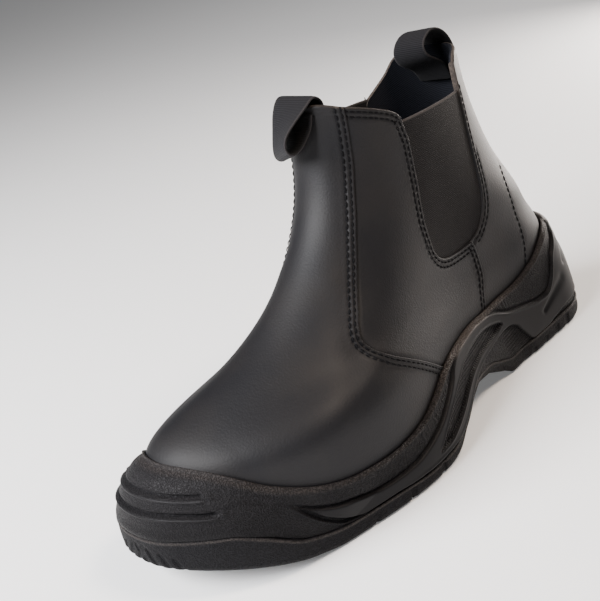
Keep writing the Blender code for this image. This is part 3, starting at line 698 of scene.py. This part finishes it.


# Soft creases and puckers: side, x and z of both ends, half width, depth
# (a trough is positive). Each is a bell of the distance to its line.
creases = [(side, *row) for row in (
    ((172, 100), (150, 116), 9.0, 0.30), ((198, 76), (216, 64), 8.0, 0.45),
    ((190, 92), (186, 106), 6.0, -0.3), ((62, 92), (50, 82), 8.0, 0.3)) for side in (1, -1)]


def creaseDepth(points):
    low = np.zeros(points.shape[:-1])
    for side, start, end, width, depth in creases:
        line, _ = onLeather(walker([start, end])(np.linspace(0, 1, 12)), side)
        far, _ = nearOf(points, line)
        low += depth * hill(far, width)
    # a slow waviness of a millimetre's fraction, as lasted leather has
    x, y, z = points[..., 0], points[..., 1], points[..., 2]
    wave = np.sin(x / 9.7 + z / 13.1) * np.sin(y / 8.3 - z / 11.9) + np.sin(x / 17 - z / 7.9)
    return low + 0.045 * wave


# Rounded border of a wall: how far the face drops at a distance inside its edge.
def rolled(distance, radius):
    d = np.clip(distance, 0, radius)
    return radius - np.sqrt(np.maximum(radius ** 2 - (radius - d) ** 2, 0))


# A panel of leather with its lining: outer face, inner face and the border between them.
# around and z place each point of the grid, out is the outer face's offset and inner the
# lining's. Each value is a pair, for the two faces.
def makePanel(name, around, z, out, inner, values):
    rows, cols = around.shape
    outer = leatherPoint(around, z, out)
    under = leatherPoint(around, z, inner)
    quads, each = slabFaces(rows, cols), (rows - 1) * (cols - 1)
    slots = np.zeros(len(quads))
    slots[each:2 * each] = 1
    both = {key: np.concatenate([np.ravel(a), np.ravel(b)]) for key, (a, b) in values.items()}
    corner = outer[:-1, :-1], outer[1:, 1:], outer[:-1, 1:], outer[1:, :-1]
    normal = np.cross(corner[1] - corner[0], corner[2] - corner[3])
    if np.sum(normal * leatherNormal(around, z)[:-1, :-1]) < 0:
        quads = quads[:, ::-1]
    return makePiece(name, np.concatenate([outer.reshape(-1, 3), under.reshape(-1, 3)]), quads,
                     [leather, lining], (), slots, both)


# Places around the boot for rows of one height each, from one border to the other, with
# insets in millimetres: each row is walked by its own length.
def ringRows(z, start, end, first, last, count):
    t = np.linspace(0, 1, 500)
    rows = []
    for height, a, b in zip(z, start, end):
        fine = a + (b - a) * t
        points = lastPoint(fine, np.full(500, height))
        run = wayAlong(points)
        share = spread(run[-1], first, last, count)
        way = share * run[-1]
        rows.append((np.interp(way, run, fine), way, run[-1] - way))
    return [np.array(part) for part in zip(*rows)]


edgeSteps = [0, 0.1, 0.3, 0.6, 1.0, 1.4, 1.8, 2.2, 2.6, 3.1, 3.6, 4.0, 4.4, 4.8, 5.3, 6.0, 7.0]
collarSteps = [0, 0.12, 0.4, 0.8, 1.4, 2.0, 2.6, 3.2, 3.9, 4.6, 5.4, 6.4]


# Vamp: heights from inside the foxing to the collar, stepped evenly along the instep's
# ridge, each row running from one seam round the toe to the other.
def makeVamp():
    zSteps = np.linspace(24, 181, 900)
    ridge = lastPoint(np.full(900, 0.5), zSteps)
    flank = lastPoint(np.full(900, 0.42), zSteps)
    way = np.cumsum(np.append(0, np.maximum(np.diff(wayAlong(ridge)), np.diff(wayAlong(flank)))))
    z = np.interp(spread(way[-1], [0, 2], collarSteps, 150) * way[-1], way, zSteps)
    around, fromOut, fromIn = ringRows(z, placeAt(vampEdge(z), z, 1), placeAt(vampEdge(z), z, -1),
                                       edgeSteps, edgeSteps, 190)
    z = np.broadcast_to(z[:, None], around.shape)
    x = lastPoint(around, z)[..., 0]
    fromTop = 181 - z
    z = z + (collarLine(x) - 181) * ease(z, 150, 181)
    points = lastPoint(around, z)
    edge = np.minimum(fromOut, fromIn)
    out = 0.15 + 0.85 * (1 - ease(edge, 0, 9)) * ease(z, 20, 40)
    trough, stitchShade = bothTroughs(points, "vamp")
    topRow = np.maximum(*(hill(fromTop - depth, 0.8) for depth in (2.2, 4.8))) * (edge > 0.5)
    pucker = 0.16 * hill(edge - 3.1, 0.9) + 0.12 * hill(edge - 0.7, 0.5)
    out = out + pucker - trough - 0.25 * topRow - creaseDepth(points)
    out = out - rolled(edge, 0.9) - rolled(fromTop, 1.5)
    inner = np.full(z.shape, -seams["leather"] - 0.15) + rolled(fromTop, 1.4)
    cutTop = 1 - ease(fromTop, 0.1, 1.0)
    raw = 0.3 * cutTop * (1 + 1.6 * (edge < 5))
    return makePanel("vamp", around, z, out, inner, {"edge": (raw, cutTop), "stitchShade": (stitchShade, 0 * stitchShade)})


# Front quarter: the patch between four borders, each point the two opposite borders'
# blends added and the four corners' blend taken off.
def makeFrontQuarter(side):
    inner, outer = walker(seams["window"]), walker(seams["underVamp"])
    start, end = walker(seams["topEdge"]), walker(seams["rearEdge"])
    v0 = np.linspace(0, 1, 210)
    wide = np.linalg.norm(outer(v0) - inner(v0), axis=1)
    u = spread(wide, edgeSteps, [0, 1.5], 70)
    tall = 125 + 100 * u[0]        # length of the grid's columns, millimetres
    v = spread(tall, collarSteps, edgeSteps, len(v0) - len(collarSteps) - len(edgeSteps)).T
    tall = np.broadcast_to(tall, v.shape)
    wide = np.broadcast_to(wide[:, None], u.shape)
    c = [p[None, None] for p in (inner(0.0), outer(0.0), inner(1.0), outer(1.0))]
    uu, vv = u[..., None], v[..., None]
    place = (1 - uu) * inner(v) + uu * outer(v) + (1 - vv) * start(u) + vv * end(u) \
        - (1 - vv) * ((1 - uu) * c[0] + uu * c[1]) - vv * ((1 - uu) * c[2] + uu * c[3])
    x, z = place[..., 0], place[..., 1]
    around = placeAt(x, z, side)
    points = lastPoint(around, z)
    far, _ = nearOf(points, onLeather(vampSeam, side)[0])
    under = np.where(x > vampEdge(z), far, -far)
    fromWindow, fromTop, fromRear = u * wide, v * tall, (1 - v) * tall
    out = 0.15 - 0.95 * ease(under, -2.0, 1.2) + 0.55 * (1 - ease(fromRear, 0, 9))
    trough, stitchShade = stitchTrough(points, stitchRows["front"], side)
    pucker = 0.14 * hill(fromWindow - 3.3, 0.9)
    out = out + pucker - trough - creaseDepth(points) - rolled(fromWindow, 0.9) \
        - rolled(fromTop, 1.4) - rolled(fromRear, 0.8)
    depth = np.full(z.shape, -seams["leather"]) + rolled(fromTop, 1.3)
    cutTop = 1 - ease(fromTop, 0.1, 1.0)
    return makePanel("front_quarter_" + sideName[side], around, z, out, depth,
                     {"edge": (0.25 * cutTop, cutTop), "stitchShade": (stitchShade, 0 * stitchShade)})


# Rear quarter: rows of one height each, round the back from one gore to the other.
def makeRearQuarter():
    z = 28 + 147.0 * spread(147.0, [0, 1.5], collarSteps, 96)
    start, end = placeAt(rearBorders[1](z), z, 1), placeAt(rearBorders[-1](z), z, -1) - 1
    around, fromOut, fromIn = ringRows(z, start, end, edgeSteps, edgeSteps, 130)
    z = np.broadcast_to(z[:, None], around.shape)
    x = lastPoint(around, z)[..., 0]
    fromTop = 175 - z
    z = z + (collarLine(x) - 175) * ease(z, 140, 175)
    points = lastPoint(around, z)
    edge = np.minimum(fromOut, fromIn)
    window = ease(z, 79.6, 80.6)
    under = (1 - window) * ease(edge, 9.5, 6.5)
    out = 0.05 - 0.75 * under
    trough, stitchShade = bothTroughs(points, "rear")
    out = out - trough - creaseDepth(points) - rolled(edge, 0.9) - rolled(fromTop, 1.5)
    inner = np.full(z.shape, -seams["leather"] - 0.1) + rolled(fromTop, 1.4)
    cutTop = 1 - ease(fromTop, 0.1, 1.2)
    bare = np.maximum(cutTop, ease(z, 150, 158) * (1 - ease(edge, 0.0, 1.0)))
    return makePanel("rear_quarter", around, z, out, inner,
                     {"edge": (0.5 * bare, bare), "stitchShade": (stitchShade, 0 * stitchShade)})


print("stage: leather panels")
upperPieces = [makeVamp(), makeFrontQuarter(1), makeFrontQuarter(-1), makeRearQuarter()]
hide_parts("upper")


# Stitches: one capsule, its radius closing as (1 - t^2)^0.4 and its middle lifted as an
# arch, set along each row at the pitch and turned to the row and the leather.
def makeStitches(name, rows):
    t = np.array([-1, -0.82, -0.4, 0, 0.4, 0.82, 1])[:, None]
    turn = np.arange(6)[None, :] / 6 * 2 * np.pi
    ring = np.maximum(1 - t ** 2, 0.02) ** 0.4
    size = seams["thread"]
    base = np.stack([t * seams["pitch"] * 0.40 + 0 * turn, ring * np.cos(turn) * size,
                     ring * np.sin(turn) * size * 0.75 + 0.30 * (1 - t ** 2)], -1).reshape(-1, 3)
    ends = [[0, 1, 2, 3], [0, 3, 4, 5], [39, 38, 37, 36], [41, 40, 39, 36]]
    capsule = np.concatenate([gridFaces(7, 6, closeCols=True), ends])
    points = []
    for path, lift, side in rows:
        line, normals = onLeather(path, side, lift)
        run = wayAlong(line)
        steps = np.arange(seams["pitch"] / 2, run[-1], seams["pitch"])
        middle, up = readAt(steps, run, line), unit(readAt(steps, run, normals))
        ahead = unit(readAt(steps + 0.5, run, line) - readAt(steps - 0.5, run, line))
        wide = unit(np.cross(up, ahead))
        frames = np.stack([ahead, wide, up], 1)
        points.append((middle[:, None] + base @ frames).reshape(-1, 3))
    points = np.concatenate(points)
    number = len(points) // len(base)
    quads = (capsule[None] + np.arange(number)[:, None, None] * len(base)).reshape(-1, 4)
    return makePiece(name, points, quads, [thread], facing="closed")


print("stage: stitches")
for name, rows in stitchRows.items():
    makeStitches("stitches_" + name, rows)


# Elastic gore: a slab between the leather and the lining whose outer face carries a rib
# every pitch: out = middle + half the rib depth times the cosine of the height. The sine
# of both ways lets its middle bulge.
gore = {"rows": 760, "cols": 26, "pitch": 0.92, "ribDepth": 0.13, "outer": -1.35,
        "inner": -2.45, "bulge": 0.5, "under": 6.0, "bottom": 74}


def makeGore(side, node):
    rows, cols = gore["rows"], gore["cols"]
    v, u = np.meshgrid(np.linspace(0, 1, rows), np.linspace(0, 1, cols), indexing="ij")
    front, back = 121 + gore["under"] - 2.5 * v, 66 - gore["under"] - 5.0 * v
    x = back + (front - back) * u
    (x0, z0), (x1, z1) = seams["goreTop"]
    climb = (z1 - z0) / (x1 - x0) * (x - x0)
    top = z0 + climb
    z = gore["bottom"] + (top - gore["bottom"]) * v
    around = placeAt(x, z, side)
    rib = 0.5 + 0.5 * np.cos(2 * np.pi * (z - climb * v) / gore["pitch"])
    bulge = gore["bulge"] * np.sin(np.pi * np.clip((x - 60) / 58, 0, 1)) \
        * np.sin(np.pi * np.clip((z - 80) / 95, 0, 1))
    fromTop = top - z
    hem = 1 - ease(fromTop, 0.9, 1.3)
    outer = gore["outer"] + bulge + gore["ribDepth"] * (rib - 0.5) * (1 - hem) \
        - rolled(fromTop, 0.55) + 0.08 * hem
    inner = gore["inner"] + bulge * 0.5 - 0.13 * (rib - 0.5) + rolled(fromTop, 0.5)
    faces = np.stack([leatherPoint(around, z, outer), leatherPoint(around, z, inner)])
    values = {"rib": np.stack([rib * (1 - hem), rib]), "selvedge": np.stack([hem, hem])}
    return makePiece("gore_" + sideName[side] + "_elastic", faces, slabFaces(rows, cols),
                     [elastic], (node,), None, values, facing="closed")


print("stage: gores")
for side in (1, -1):
    makeGore(side, "gore_" + sideName[side])


# Pull loops: each is a strip between two edge lines, with a weft rib every pitch.
loops = {
    "wall": 1.6, "pitch": 0.95, "ribDepth": 0.2, "rows": 480,
    # y of the strip's two edges, and each edge's line from inside the collar to outside
    "front": {"y": (-10.5, 14.5), "inner": [
        (155.0, 164), (153.8, 174), (152.2, 184.4), (155.8, 187.4), (160.8, 184.0), (164.4, 177),
        (166.8, 170.5), (168.6, 164.5), (168.2, 160.2), (165.0, 158.0), (161.4, 161.5),
        (159.9, 168), (158.7, 174), (157.9, 180)], "outer": [
        (155.2, 164), (154.0, 174), (152.3, 184.0), (155.6, 186.8), (161.5, 185.2), (168.5, 182.0),
        (175.2, 178.8), (180.4, 175.2), (182.0, 171.0), (179.8, 167.4), (174.6, 166.8),
        (168.6, 169.8), (163.4, 174.5), (160.6, 180)]},
    "back": {"y": (-19.0, 1.0), "inner": [
        (44.4, 157), (48.0, 163), (54.2, 167.8), (59.2, 171.8), (60.9, 176.2), (58.8, 181.0),
        (52.5, 184.8), (44.6, 184.2), (38.6, 179), (37.0, 169), (36.4, 159)], "outer": [
        (41.2, 157), (44.0, 165), (51.0, 171.4), (56.8, 176.0), (57.8, 180.6), (54.0, 184.9),
        (48.2, 186.6), (42.2, 184.6), (37.2, 179.6), (33.7, 170), (33.0, 159)]},
}


# Strip between two edges: each edge is a natural cubic walked by its own length, the
# cross rows are straight between them, and both faces stand half the wall off the middle.
def makeLoop(name, node, spec):
    edges, count = [], loops["rows"]
    for line, y in zip((spec["inner"], spec["outer"]), spec["y"]):
        line = np.array(line, float)
        way = wayAlong(line)
        steps = np.linspace(0, way[-1], count)
        x, z = (naturalCurve(np.column_stack([way, a]))(steps) for a in line.T)
        edges.append(np.stack([x, np.full(count, y), z], -1))
    length, share = wayAlong(sum(edges) / 2)[-1], np.linspace(0, 1, count)
    across = np.array([0.25, 0.5, 0.75, 0.9, 0.97, 1])
    across = np.concatenate([-across[::-1], [0], across])
    blend = (0.5 + 0.5 * across)[None, :, None]
    middle = edges[0][:, None] * (1 - blend) + edges[1][:, None] * blend
    normal = unit(np.cross(np.gradient(middle, axis=0), np.gradient(middle, axis=1)))
    rib = 0.5 + 0.5 * np.cos(2 * np.pi * share * length / loops["pitch"])
    swell = (1 - np.abs(across) ** 14) * 0.62 + 0.38        # thinner at both selvedges
    thick = swell * loops["wall"] / 2 - loops["ribDepth"] * np.outer(1 - rib, np.abs(across) < 0.95)
    rings = np.concatenate([middle + normal * thick[..., None],
                            (middle - normal * thick[..., None])[:, ::-1]], 1)
    rows, cols = rings.shape[:2]
    quads = gridFaces(rows, cols, closeCols=True)
    half = cols // 2
    ends = np.array([[i, i + 1, cols - 2 - i, cols - 1 - i] for i in range(half - 1)])
    quads = np.concatenate([quads, ends[:, ::-1], ends + (rows - 1) * cols])
    edge = np.concatenate([np.abs(across), np.abs(across)]) > 0.94
    # painted shade: the inner face, which only the hollow of the loop shows, and the end in the
    # shaft are dark
    shadeAndTone = np.outer(1 - ease(share, 0.16, 0.26), np.ones(cols))
    away = rings[rows // 2, 0] - rings[:, half // 2].mean(0)
    hollow = np.sum(normal[rows // 2, half // 2] * away) < 0
    shadeAndTone[:, :half] = np.maximum(shadeAndTone[:, :half], 0.75 * hollow)
    shadeAndTone[:, half:] = np.maximum(shadeAndTone[:, half:], 0.75 * (not hollow))
    values = {"rib": np.repeat(rib, cols), "selvedge": np.tile(edge, rows), "shadeAndTone": shadeAndTone}
    return makePiece(name, rings, quads, [webbing], (node,), None, values,
                     facing="closed")


print("stage: pull loops")
for end in ("front", "back"):
    makeLoop("webbing_loop_" + end, "pull_loop_" + end, loops[end])

# Foxing: lines of its side as x and z, for the outer side; the inner side mirrors them.
foxing = {
    "places": 960, "rows": 84,
    "shade": 0.8,        # one dark tone over all of it
    # toe grooves: height of each, and the x where it ends
    "grooves": ((51.2, 292.0), (43.2, 291.0)),
    # the ribbon's upper groove, from the heel forward to the ribbon's tip
    "ribbonTop": [(-4, 63), (8, 61), (16, 56), (22.5, 50.5), (28.7, 45.3), (32.1, 39.3),
                  (36.2, 33.2), (40.6, 29.1), (45.2, 28.1), (51.5, 28.2), (59.6, 29.8),
                  (68.4, 31.9), (77.8, 34.1),
                  (87.4, 38.5), (97, 41.5), (108, 43.5), (121, 44.6), (137, 43.6), (147, 40.5),
                  (153.7, 35.5), (163.5, 29.8), (170.8, 25.6), (178, 22.6), (186.5, 19.8),
                  (197, 17.4), (210, 16.6), (219.5, 16.9), (228.4, 18.5), (236.9, 20.8),
                  (244.5, 22.4), (255, 26.3), (259.9, 29.1), (264.9, 32.7), (268, 34), (311, 34)],
    "ribbonLow": [(-4, 14.5), (24, 14.9), (36, 13.1), (52, 9.9), (57, 9.6), (65, 11.3),
                  (68.5, 14.8), (72.7, 20.3), (75, 23.9), (77.4, 25.8), (82, 27.7), (87, 28.1),
                  (95, 27.7), (104, 26.8), (113, 25.8), (121, 24.5), (128.4, 22.6), (137, 19),
                  (150, 13.5), (165, 9.5), (185, 9.0), (200, 9.4), (217, 10.6), (230, 10.6),
                  (238, 12.2), (243, 14.4), (249, 18.2), (253, 21.2), (257.4, 26.1),
                  (262, 30), (266, 33), (311, 33)],
    # the sunken inset inside the ribbon
    "insetTop": [(86, 31.5), (89.3, 33.4), (95.5, 35.6), (104.6, 37.6), (116.5, 38.4),
                 (126, 38.0), (137, 36.6), (145, 33.8), (153, 30.6), (163, 25.4),
                 (171, 20.4), (180, 14.2), (184, 12)],
    "insetLow": [(86, 31.5), (89.7, 31.6), (94.7, 30.6), (101, 30.3), (110, 29.9), (119, 29.2),
                 (129.6, 27.3), (141, 23.6), (152, 19.3), (164.6, 15.2), (172, 13.4),
                 (180, 13.0), (184, 12)],
    "inset": (88.5, 180.5),
    # the lower lip that runs from the ribbon's tip down to the seam
    "lip": [(230, 9.9), (238, 10.6), (244.5, 12.0), (249, 14.8), (253.5, 18.3), (258, 22.9),
            (261.6, 27.3), (265.5, 31.9)],
    # the heel band's scoops: both ends, half width, depth
    "scoops": (((48.6, 20.3), (26.6, 30.0), 2.6, 0.9), ((18, 37), (8, 48), 3.0, 0.8)),
    "relief": {"foot": 0.7, "ribbon": 1.3, "inset": -0.55, "tier": 0.7},
}
ribbonTop, ribbonLow, insetTop, insetLow, lipLine = (
    flatCurve(foxing[k]) for k in ("ribbonTop", "ribbonLow", "insetTop", "insetLow", "lip"))


# Outward relief of the foxing at x and z: a sum of bells and eased steps about the lines
# above. With it come the values that its material reads.
def foxingRelief(x, z, rim, base):
    r = foxing["relief"]
    top, low, lip = ribbonTop(x), ribbonLow(x), lipLine(x)
    inRibbon = between(z, low - 0.35, low + 0.35, top - 0.3, top + 0.3) * (1 - ease(x, 262, 266))
    relief = 0.15 + r["ribbon"] * inRibbon * (1 - ease(x, 240, 264))
    # groove along the ribbon's upper edge, deepest where the ribbon begins
    groove = between(x, 146, 156, 258, 266) * hill(z - top - 0.6, 0.85)
    relief = relief - (1.1 + 0.8 * ease(x, 205, 245)) * groove
    heel = between(x, 7, 14, 86, 92)
    relief = relief + heel * (0.45 * hill(z - top + 0.8, 0.8) - 0.9 * hill(z - top - 0.6, 0.75))
    # the inset, sunk in the ribbon, with a thin ridge around it
    first, last = foxing["inset"]
    ceiling, floor = insetTop(x), insetLow(x)
    inInset = between(z, floor - 0.25, floor + 0.45, ceiling - 0.45, ceiling + 0.25) \
        * between(x, first - 0.6, first + 0.6, last - 0.6, last + 0.6)
    relief = relief + (r["inset"] - r["ribbon"]) * inInset
    relief = relief + 0.3 * (hill(z - ceiling - 0.7, 0.6) + hill(z - floor + 0.7, 0.6)) \
        * between(x, first, first + 2, last - 2, last)
    # a rail under the inset
    relief = relief + 0.35 * between(x, 84, 92, 185, 215) * hill(z - low - 0.9, 0.8)
    # wedge below the ribbon's tip, bounded by the lip
    inWedge = between(x, 230, 238, 259, 265) \
        * between(z, lip + 0.2, lip + 1.0, low - 0.4, low + 0.2)
    relief = relief - 1.5 * inWedge + 0.75 * between(x, 226, 236, 262, 268) * hill(z - lip, 0.75)
    # toe tiers: each lower tier stands further out, with a groove over its lip
    toe, shine = ease(x, 268, 290), 0 * x
    for level, end in foxing["grooves"]:
        z0 = level - 2.0 * (1 - ease(x, 291, 306))
        cut = ease(x, end - 0.8, end + 0.6)
        ledge = cut * hill(z - z0 + 1.55, 0.62)
        dot = hill(np.hypot(x - end + 2.6, z - z0 + 0.6), 0.9)
        relief = relief + r["tier"] * toe * (1 - ease(z, z0 - 1.2, z0 + 0.2)) \
            - 1.7 * cut * hill(z - z0, 0.72) + 0.85 * ledge + 0.9 * dot
        shine = np.maximum(shine, ledge)
    relief = relief + r["foot"] * toe * (1 - ease(z, base + 1, base + 6))
    # scoops: the distance to a stretch, wider towards its second end
    for (x0, z0), (x1, z1), wide, depth in foxing["scoops"]:
        t = ((x - x0) * (x1 - x0) + (z - z0) * (z1 - z0)) / ((x1 - x0) ** 2 + (z1 - z0) ** 2)
        t = np.clip(t, 0, 1)
        far = np.hypot(x - x0 - t * (x1 - x0), z - z0 - t * (z1 - z0))
        relief = relief - depth * hill(far, wide * (0.6 + 0.6 * t))
    # shallow hollow under the rolled rim
    relief = relief - 0.25 * hill(z - rim + 4.6, 1.6) * ease(x, 150, 175)
    smooth = inRibbon * (1 - inInset) * (1 - ease(x, 250, 262))
    smooth = np.maximum(np.maximum(smooth, 0.55 * ease(x, 230, 240) * hill(z - lip, 1.2)), shine)
    # painted highlight on the toe's front and upper tiers, and on a band above the ribbon's front
    # end
    frontHighlight = ease(x, 262, 284) * (0.35 * ease(z, 42, 45) + 0.65 * ease(z, 50, 54)) \
        + 0.25 * ease(x, 240, 262) * ease(z, top, top + 3)
    # short ridges under the rim, bars across the inset, knurls in the waist
    return relief, {
        "smooth": np.clip(smooth, 0, 1), "frontHighlight": np.clip(frontHighlight, 0, 1), "barred": inInset,
        "brushed": ease(z, top + 1.0, top + 2.2) * between(x, 60, 90, 235, 262),
        "knurled": between(x, 60, 66, 84, 92) * (1 - ease(z, low - 1.0, low)),
        "shadeAndTone": foxing["shade"]}


# Foxing: a ring under the sole's edge, the relief wall, the rolled rim, and a well that
# goes down inside the leather.
def makeFoxing():
    count = foxing["places"]
    around = np.arange(count) / count
    plan = soleOutline(around)[:, 0]
    rim = rimHeight(around)
    base = np.maximum(seamLine(plan), bottomLine(plan) + 3.3)
    z = base + (rim - 0.6 - base) * np.linspace(0, 1, foxing["rows"])[:, None]
    # each point's own x, so that lines in side view hold along the flank
    x = foxingPoint(np.broadcast_to(around, z.shape), z)[..., 0]
    relief, values = foxingRelief(x, z, rim[None], base[None])
    fromRim = rim - z
    relief = relief + 0.35 * (1 - ease(fromRim, 0.9, 3.0)) \
        - rolled(np.maximum(fromRim - 0.6, 0), 1.0) - rolled(z - base, 0.5) \
        - 1.3 * ease(x, 262, 285) * (1 - ease(fromRim, 0.4, 4.0)) ** 2
    # painted warm highlight along the rim's rounded edge, strongest in the waist
    waist = 1 - ease(np.abs(x - 120), 20, 70)
    values["ridgeHighlight"] = 0.9 * (1 - ease(fromRim, 0.8, 2.4)) * (0.3 + 0.7 * waist)
    wall = foxingPoint(np.broadcast_to(around, z.shape), z, relief)
    lip = [leatherPoint(around, rim - 0.15, 2.0), leatherPoint(around, rim, 1.3),
           leatherPoint(around, rim - 0.1, 0.7), leatherPoint(around, rim - 0.9, 0.3),
           leatherPoint(around, rim - 6, 0.0)]
    floor = floorLine(lastPoint(around, np.full(count, 20.0))[:, 0])
    well = [leatherPoint(around, floor + 2.0, -0.6), leatherPoint(around, floor - 0.4, -6.0)]
    under = np.column_stack([soleOutline(around) - soleNormal(around) * 5.6, base + 0.1])
    rings = np.concatenate([under[None], wall, lip, well])
    # the ring below and those above take the value of the wall's nearest ring
    row = np.clip(np.arange(len(rings)) - 1, 0, len(z) - 1)
    values = {key: (value + 0 * z)[row] for key, value in values.items()}
    return makePiece("foxing", rings, gridFaces(len(rings), count, closeCols=True), [rubber],
                     ("midsole",), None, values, facing=1)


print("stage: foxing")
makeFoxing()


# Footbed: rings of the leather's inside shrunk to the middle line, its middle crowned.
def makeFootbed():
    count, over, rings = 240, 0.3, []
    around = np.arange(count) / count
    floor = floorLine(lastPoint(around, np.full(count, 20.0))[:, 0])
    edge = leatherPoint(around, floor + over, -3.4)
    x = np.clip(edge[:, 0], 34, 262)
    middle = np.column_stack([x, midline(x)])
    border = [(0.0, 0.0), (0.0, 1.6), (0.012, 2.5), (0.035, 3.0)]
    crown = [(share, 3.0 + 0.5 * np.sin(share * 1.5)) for share in np.linspace(0.08, 1.0, 24)]
    for share, lift in border + crown:
        plan = edge[:, :2] + (middle - edge[:, :2]) * share
        height = floorLine(plan[:, 0]) + over + lift * (1 - 0.25 * share)
        rings.append(np.column_stack([plan, height]))
    return makePiece("footbed", rings, gridFaces(len(rings), count, closeCols=True),
                     [footbedCloth], ("insole",), facing="closed")


print("stage: footbed")
makeFootbed()
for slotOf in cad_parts["outsole"].material_slots:
    slotOf.material = treadRubber

# Rand: the outsole's smooth side between its lugs and the foxing, a skin just outside the
# solid. Bells cut slanted nicks at the toe, by place around, and upright notches, by x.
rand = {"low": 0.6, "out": 0.25, "thick": 1.0, "rows": 26, "places": 960,
        "nickWidth": 0.0019, "nickDepth": 1.3, "lean": 0.0009, "notchWidth": 1.5,
        # how far round from the toe's tip, and height, on both sides
        "nicks": [(0.006, 12.5), (0.017, 11.5), (0.029, 10.0), (0.041, 8.5)],
        "notches": [(30, 8.0), (41, 7.0), (53, 6.0), (65, 5.0), (181, 7.0), (204, 7.0), (228, 7.0)]}


def makeRand():
    count = rand["places"]
    around = np.arange(count) / count
    plan = soleOutline(around)[:, 0]
    low = bottomLine(plan) + rand["low"]
    high = np.maximum(seamLine(plan) - 0.15, low + 0.6)
    z = low + (high - low) * np.linspace(0, 1, rand["rows"])[:, None]
    fromLow, fromHigh, cut = z - low, high - z, np.zeros(z.shape)
    for side in (1, -1):
        for place, reach in rand["nicks"]:
            gap = side * (around - 0.5) + place - fromLow * rand["lean"]
            nick = hill(gap, rand["nickWidth"]) * (1 - ease(fromLow, reach - 2.5, reach))
            cut = np.maximum(cut, nick)
    for place, reach in rand["notches"]:
        notch = np.exp(-((plan - place) / rand["notchWidth"]) ** 4)
        cut = np.maximum(cut, notch * (1 - ease(fromLow, reach - 1.5, reach)))
    # the solid's foot, drawn in at the bottom, a bead under the seam and both borders
    out = rand["out"] + footLine(plan) - 2.5 * (1 - ease(z - bottomLine(plan), -1.6, 3.6)) \
        - rand["nickDepth"] * cut + 0.35 * hill(fromHigh - 0.8, 0.55) \
        - rolled(fromHigh, 0.35) - rolled(fromLow, 0.35)
    places = np.broadcast_to(around, z.shape)
    rings = np.concatenate([foxingPoint(places, z, out),
                            foxingPoint(places, z, out - rand["thick"])[::-1]])
    # the bead under the seam gets a painted highlight
    bead = np.concatenate([0.9 * hill(fromHigh - 0.8, 0.6), 0 * z])
    # painted shade in the nicks and notches
    values = {"smooth": bead, "ridgeHighlight": 0.5 * bead, "shadeAndTone": np.concatenate([cut, 0 * z])}
    return makePiece("rand", rings, gridFaces(len(rings), count, closeRows=True, closeCols=True),
                     [treadRubber], (), None, values, facing="closed")


print("stage: rand")
makeRand()

print("stage: floor, light and camera")
studio = {
    "floor": (0.88, 0.88, 0.885), "floorGlow": 0.16,
    "world": (0.80, 0.82, 0.90), "worldPower": 0.04,
    # name, metres to the camera's left, up and towards it, size, power, colour
    "lights": [("key", (0.85, 0.30, 0.50), (1.1, 0.55), 50.0, (0.985, 0.985, 1.0)),
               ("rim", (-0.7, 0.45, -0.75), (0.4, 0.5), 20.0, (1.0, 0.92, 0.85)),
               ("warm", (-0.45, 0.85, 0.25), (0.25, 0.25), 9.0, (1.0, 0.84, 0.70))],
    "camera": {"azimuth": 51.3, "height": 22.4, "roll": -16.5, "distance": 600.0,
               "aim": (150.0, 0.0, 80.0), "slide": (-29.1, -5.8), "lens": 1149.2 * 36 / 601},
}


def floorSheet():
    mesh = bpy.data.meshes.new("floor")
    mesh.from_pydata([(-20, -20, 0), (20, -20, 0), (20, 20, 0), (-20, 20, 0)], [], [(0, 1, 2, 3)])
    paper = Finish("floor_paper", Roughness=0.9, Specular_IOR_Level=0.2,
                   Base_Color=(*studio["floor"], 1.0), Emission_Color=(1.0, 1.0, 1.0, 1.0),
                   Emission_Strength=studio["floorGlow"])
    mesh.materials.append(paper.material)
    newObject("floor", mesh)


# Rectangular light that looks at a target.
def areaLight(name, place, target, size, power, colour):
    data = bpy.data.lights.new(name, "AREA")
    data.shape, data.size, data.size_y = "RECTANGLE", size[0], size[1]
    data.energy, data.color = power, colour
    light = newObject(name, data)
    light.location = place
    light.rotation_euler = (Vector(target) - Vector(place)).to_track_quat("-Z", "Y").to_euler()


floorSheet()
# Camera: from its aim, slid in its own plane and backed off by the distance.
view = studio["camera"]
a, e, r = (np.radians(view[k]) for k in ("azimuth", "height", "roll"))
back = np.array([np.cos(a) * np.cos(e), np.sin(a) * np.cos(e), np.sin(e)])
level = unit(np.cross([0, 0, 1], back)[None])[0]
rise = np.cross(back, level)
right = np.cos(r) * level + np.sin(r) * rise
up = -np.sin(r) * level + np.cos(r) * rise
eye = np.array(view["aim"]) + right * view["slide"][0] + up * view["slide"][1]
eye = (eye + back * view["distance"] - planCentre) * mm
cameraData = bpy.data.cameras.new("camera")
cameraData.sensor_width, cameraData.lens = 36.0, view["lens"]
camera = newObject("camera", cameraData)
axes = np.column_stack([right, up, back, eye])
camera.matrix_world = Matrix([[*row] for row in axes] + [[0, 0, 0, 1]])
bpy.context.scene.camera = camera

# Lights are placed from the camera's own left, the world's up and the camera's back.
aimAt = np.array([0.0, 0.0, 0.07])
for name, place, size, power, colour in studio["lights"]:
    spot = aimAt + np.array(place) @ np.array([-right, [0, 0, 1], back])
    areaLight(name, tuple(spot), tuple(aimAt), size, power, colour)
world = bpy.data.worlds.new("studio")
bpy.context.scene.world = world
world.use_nodes = True
sky = world.node_tree.nodes["Background"].inputs
sky[0].default_value, sky[1].default_value = (*studio["world"], 1.0), studio["worldPower"]

print("stage: done")
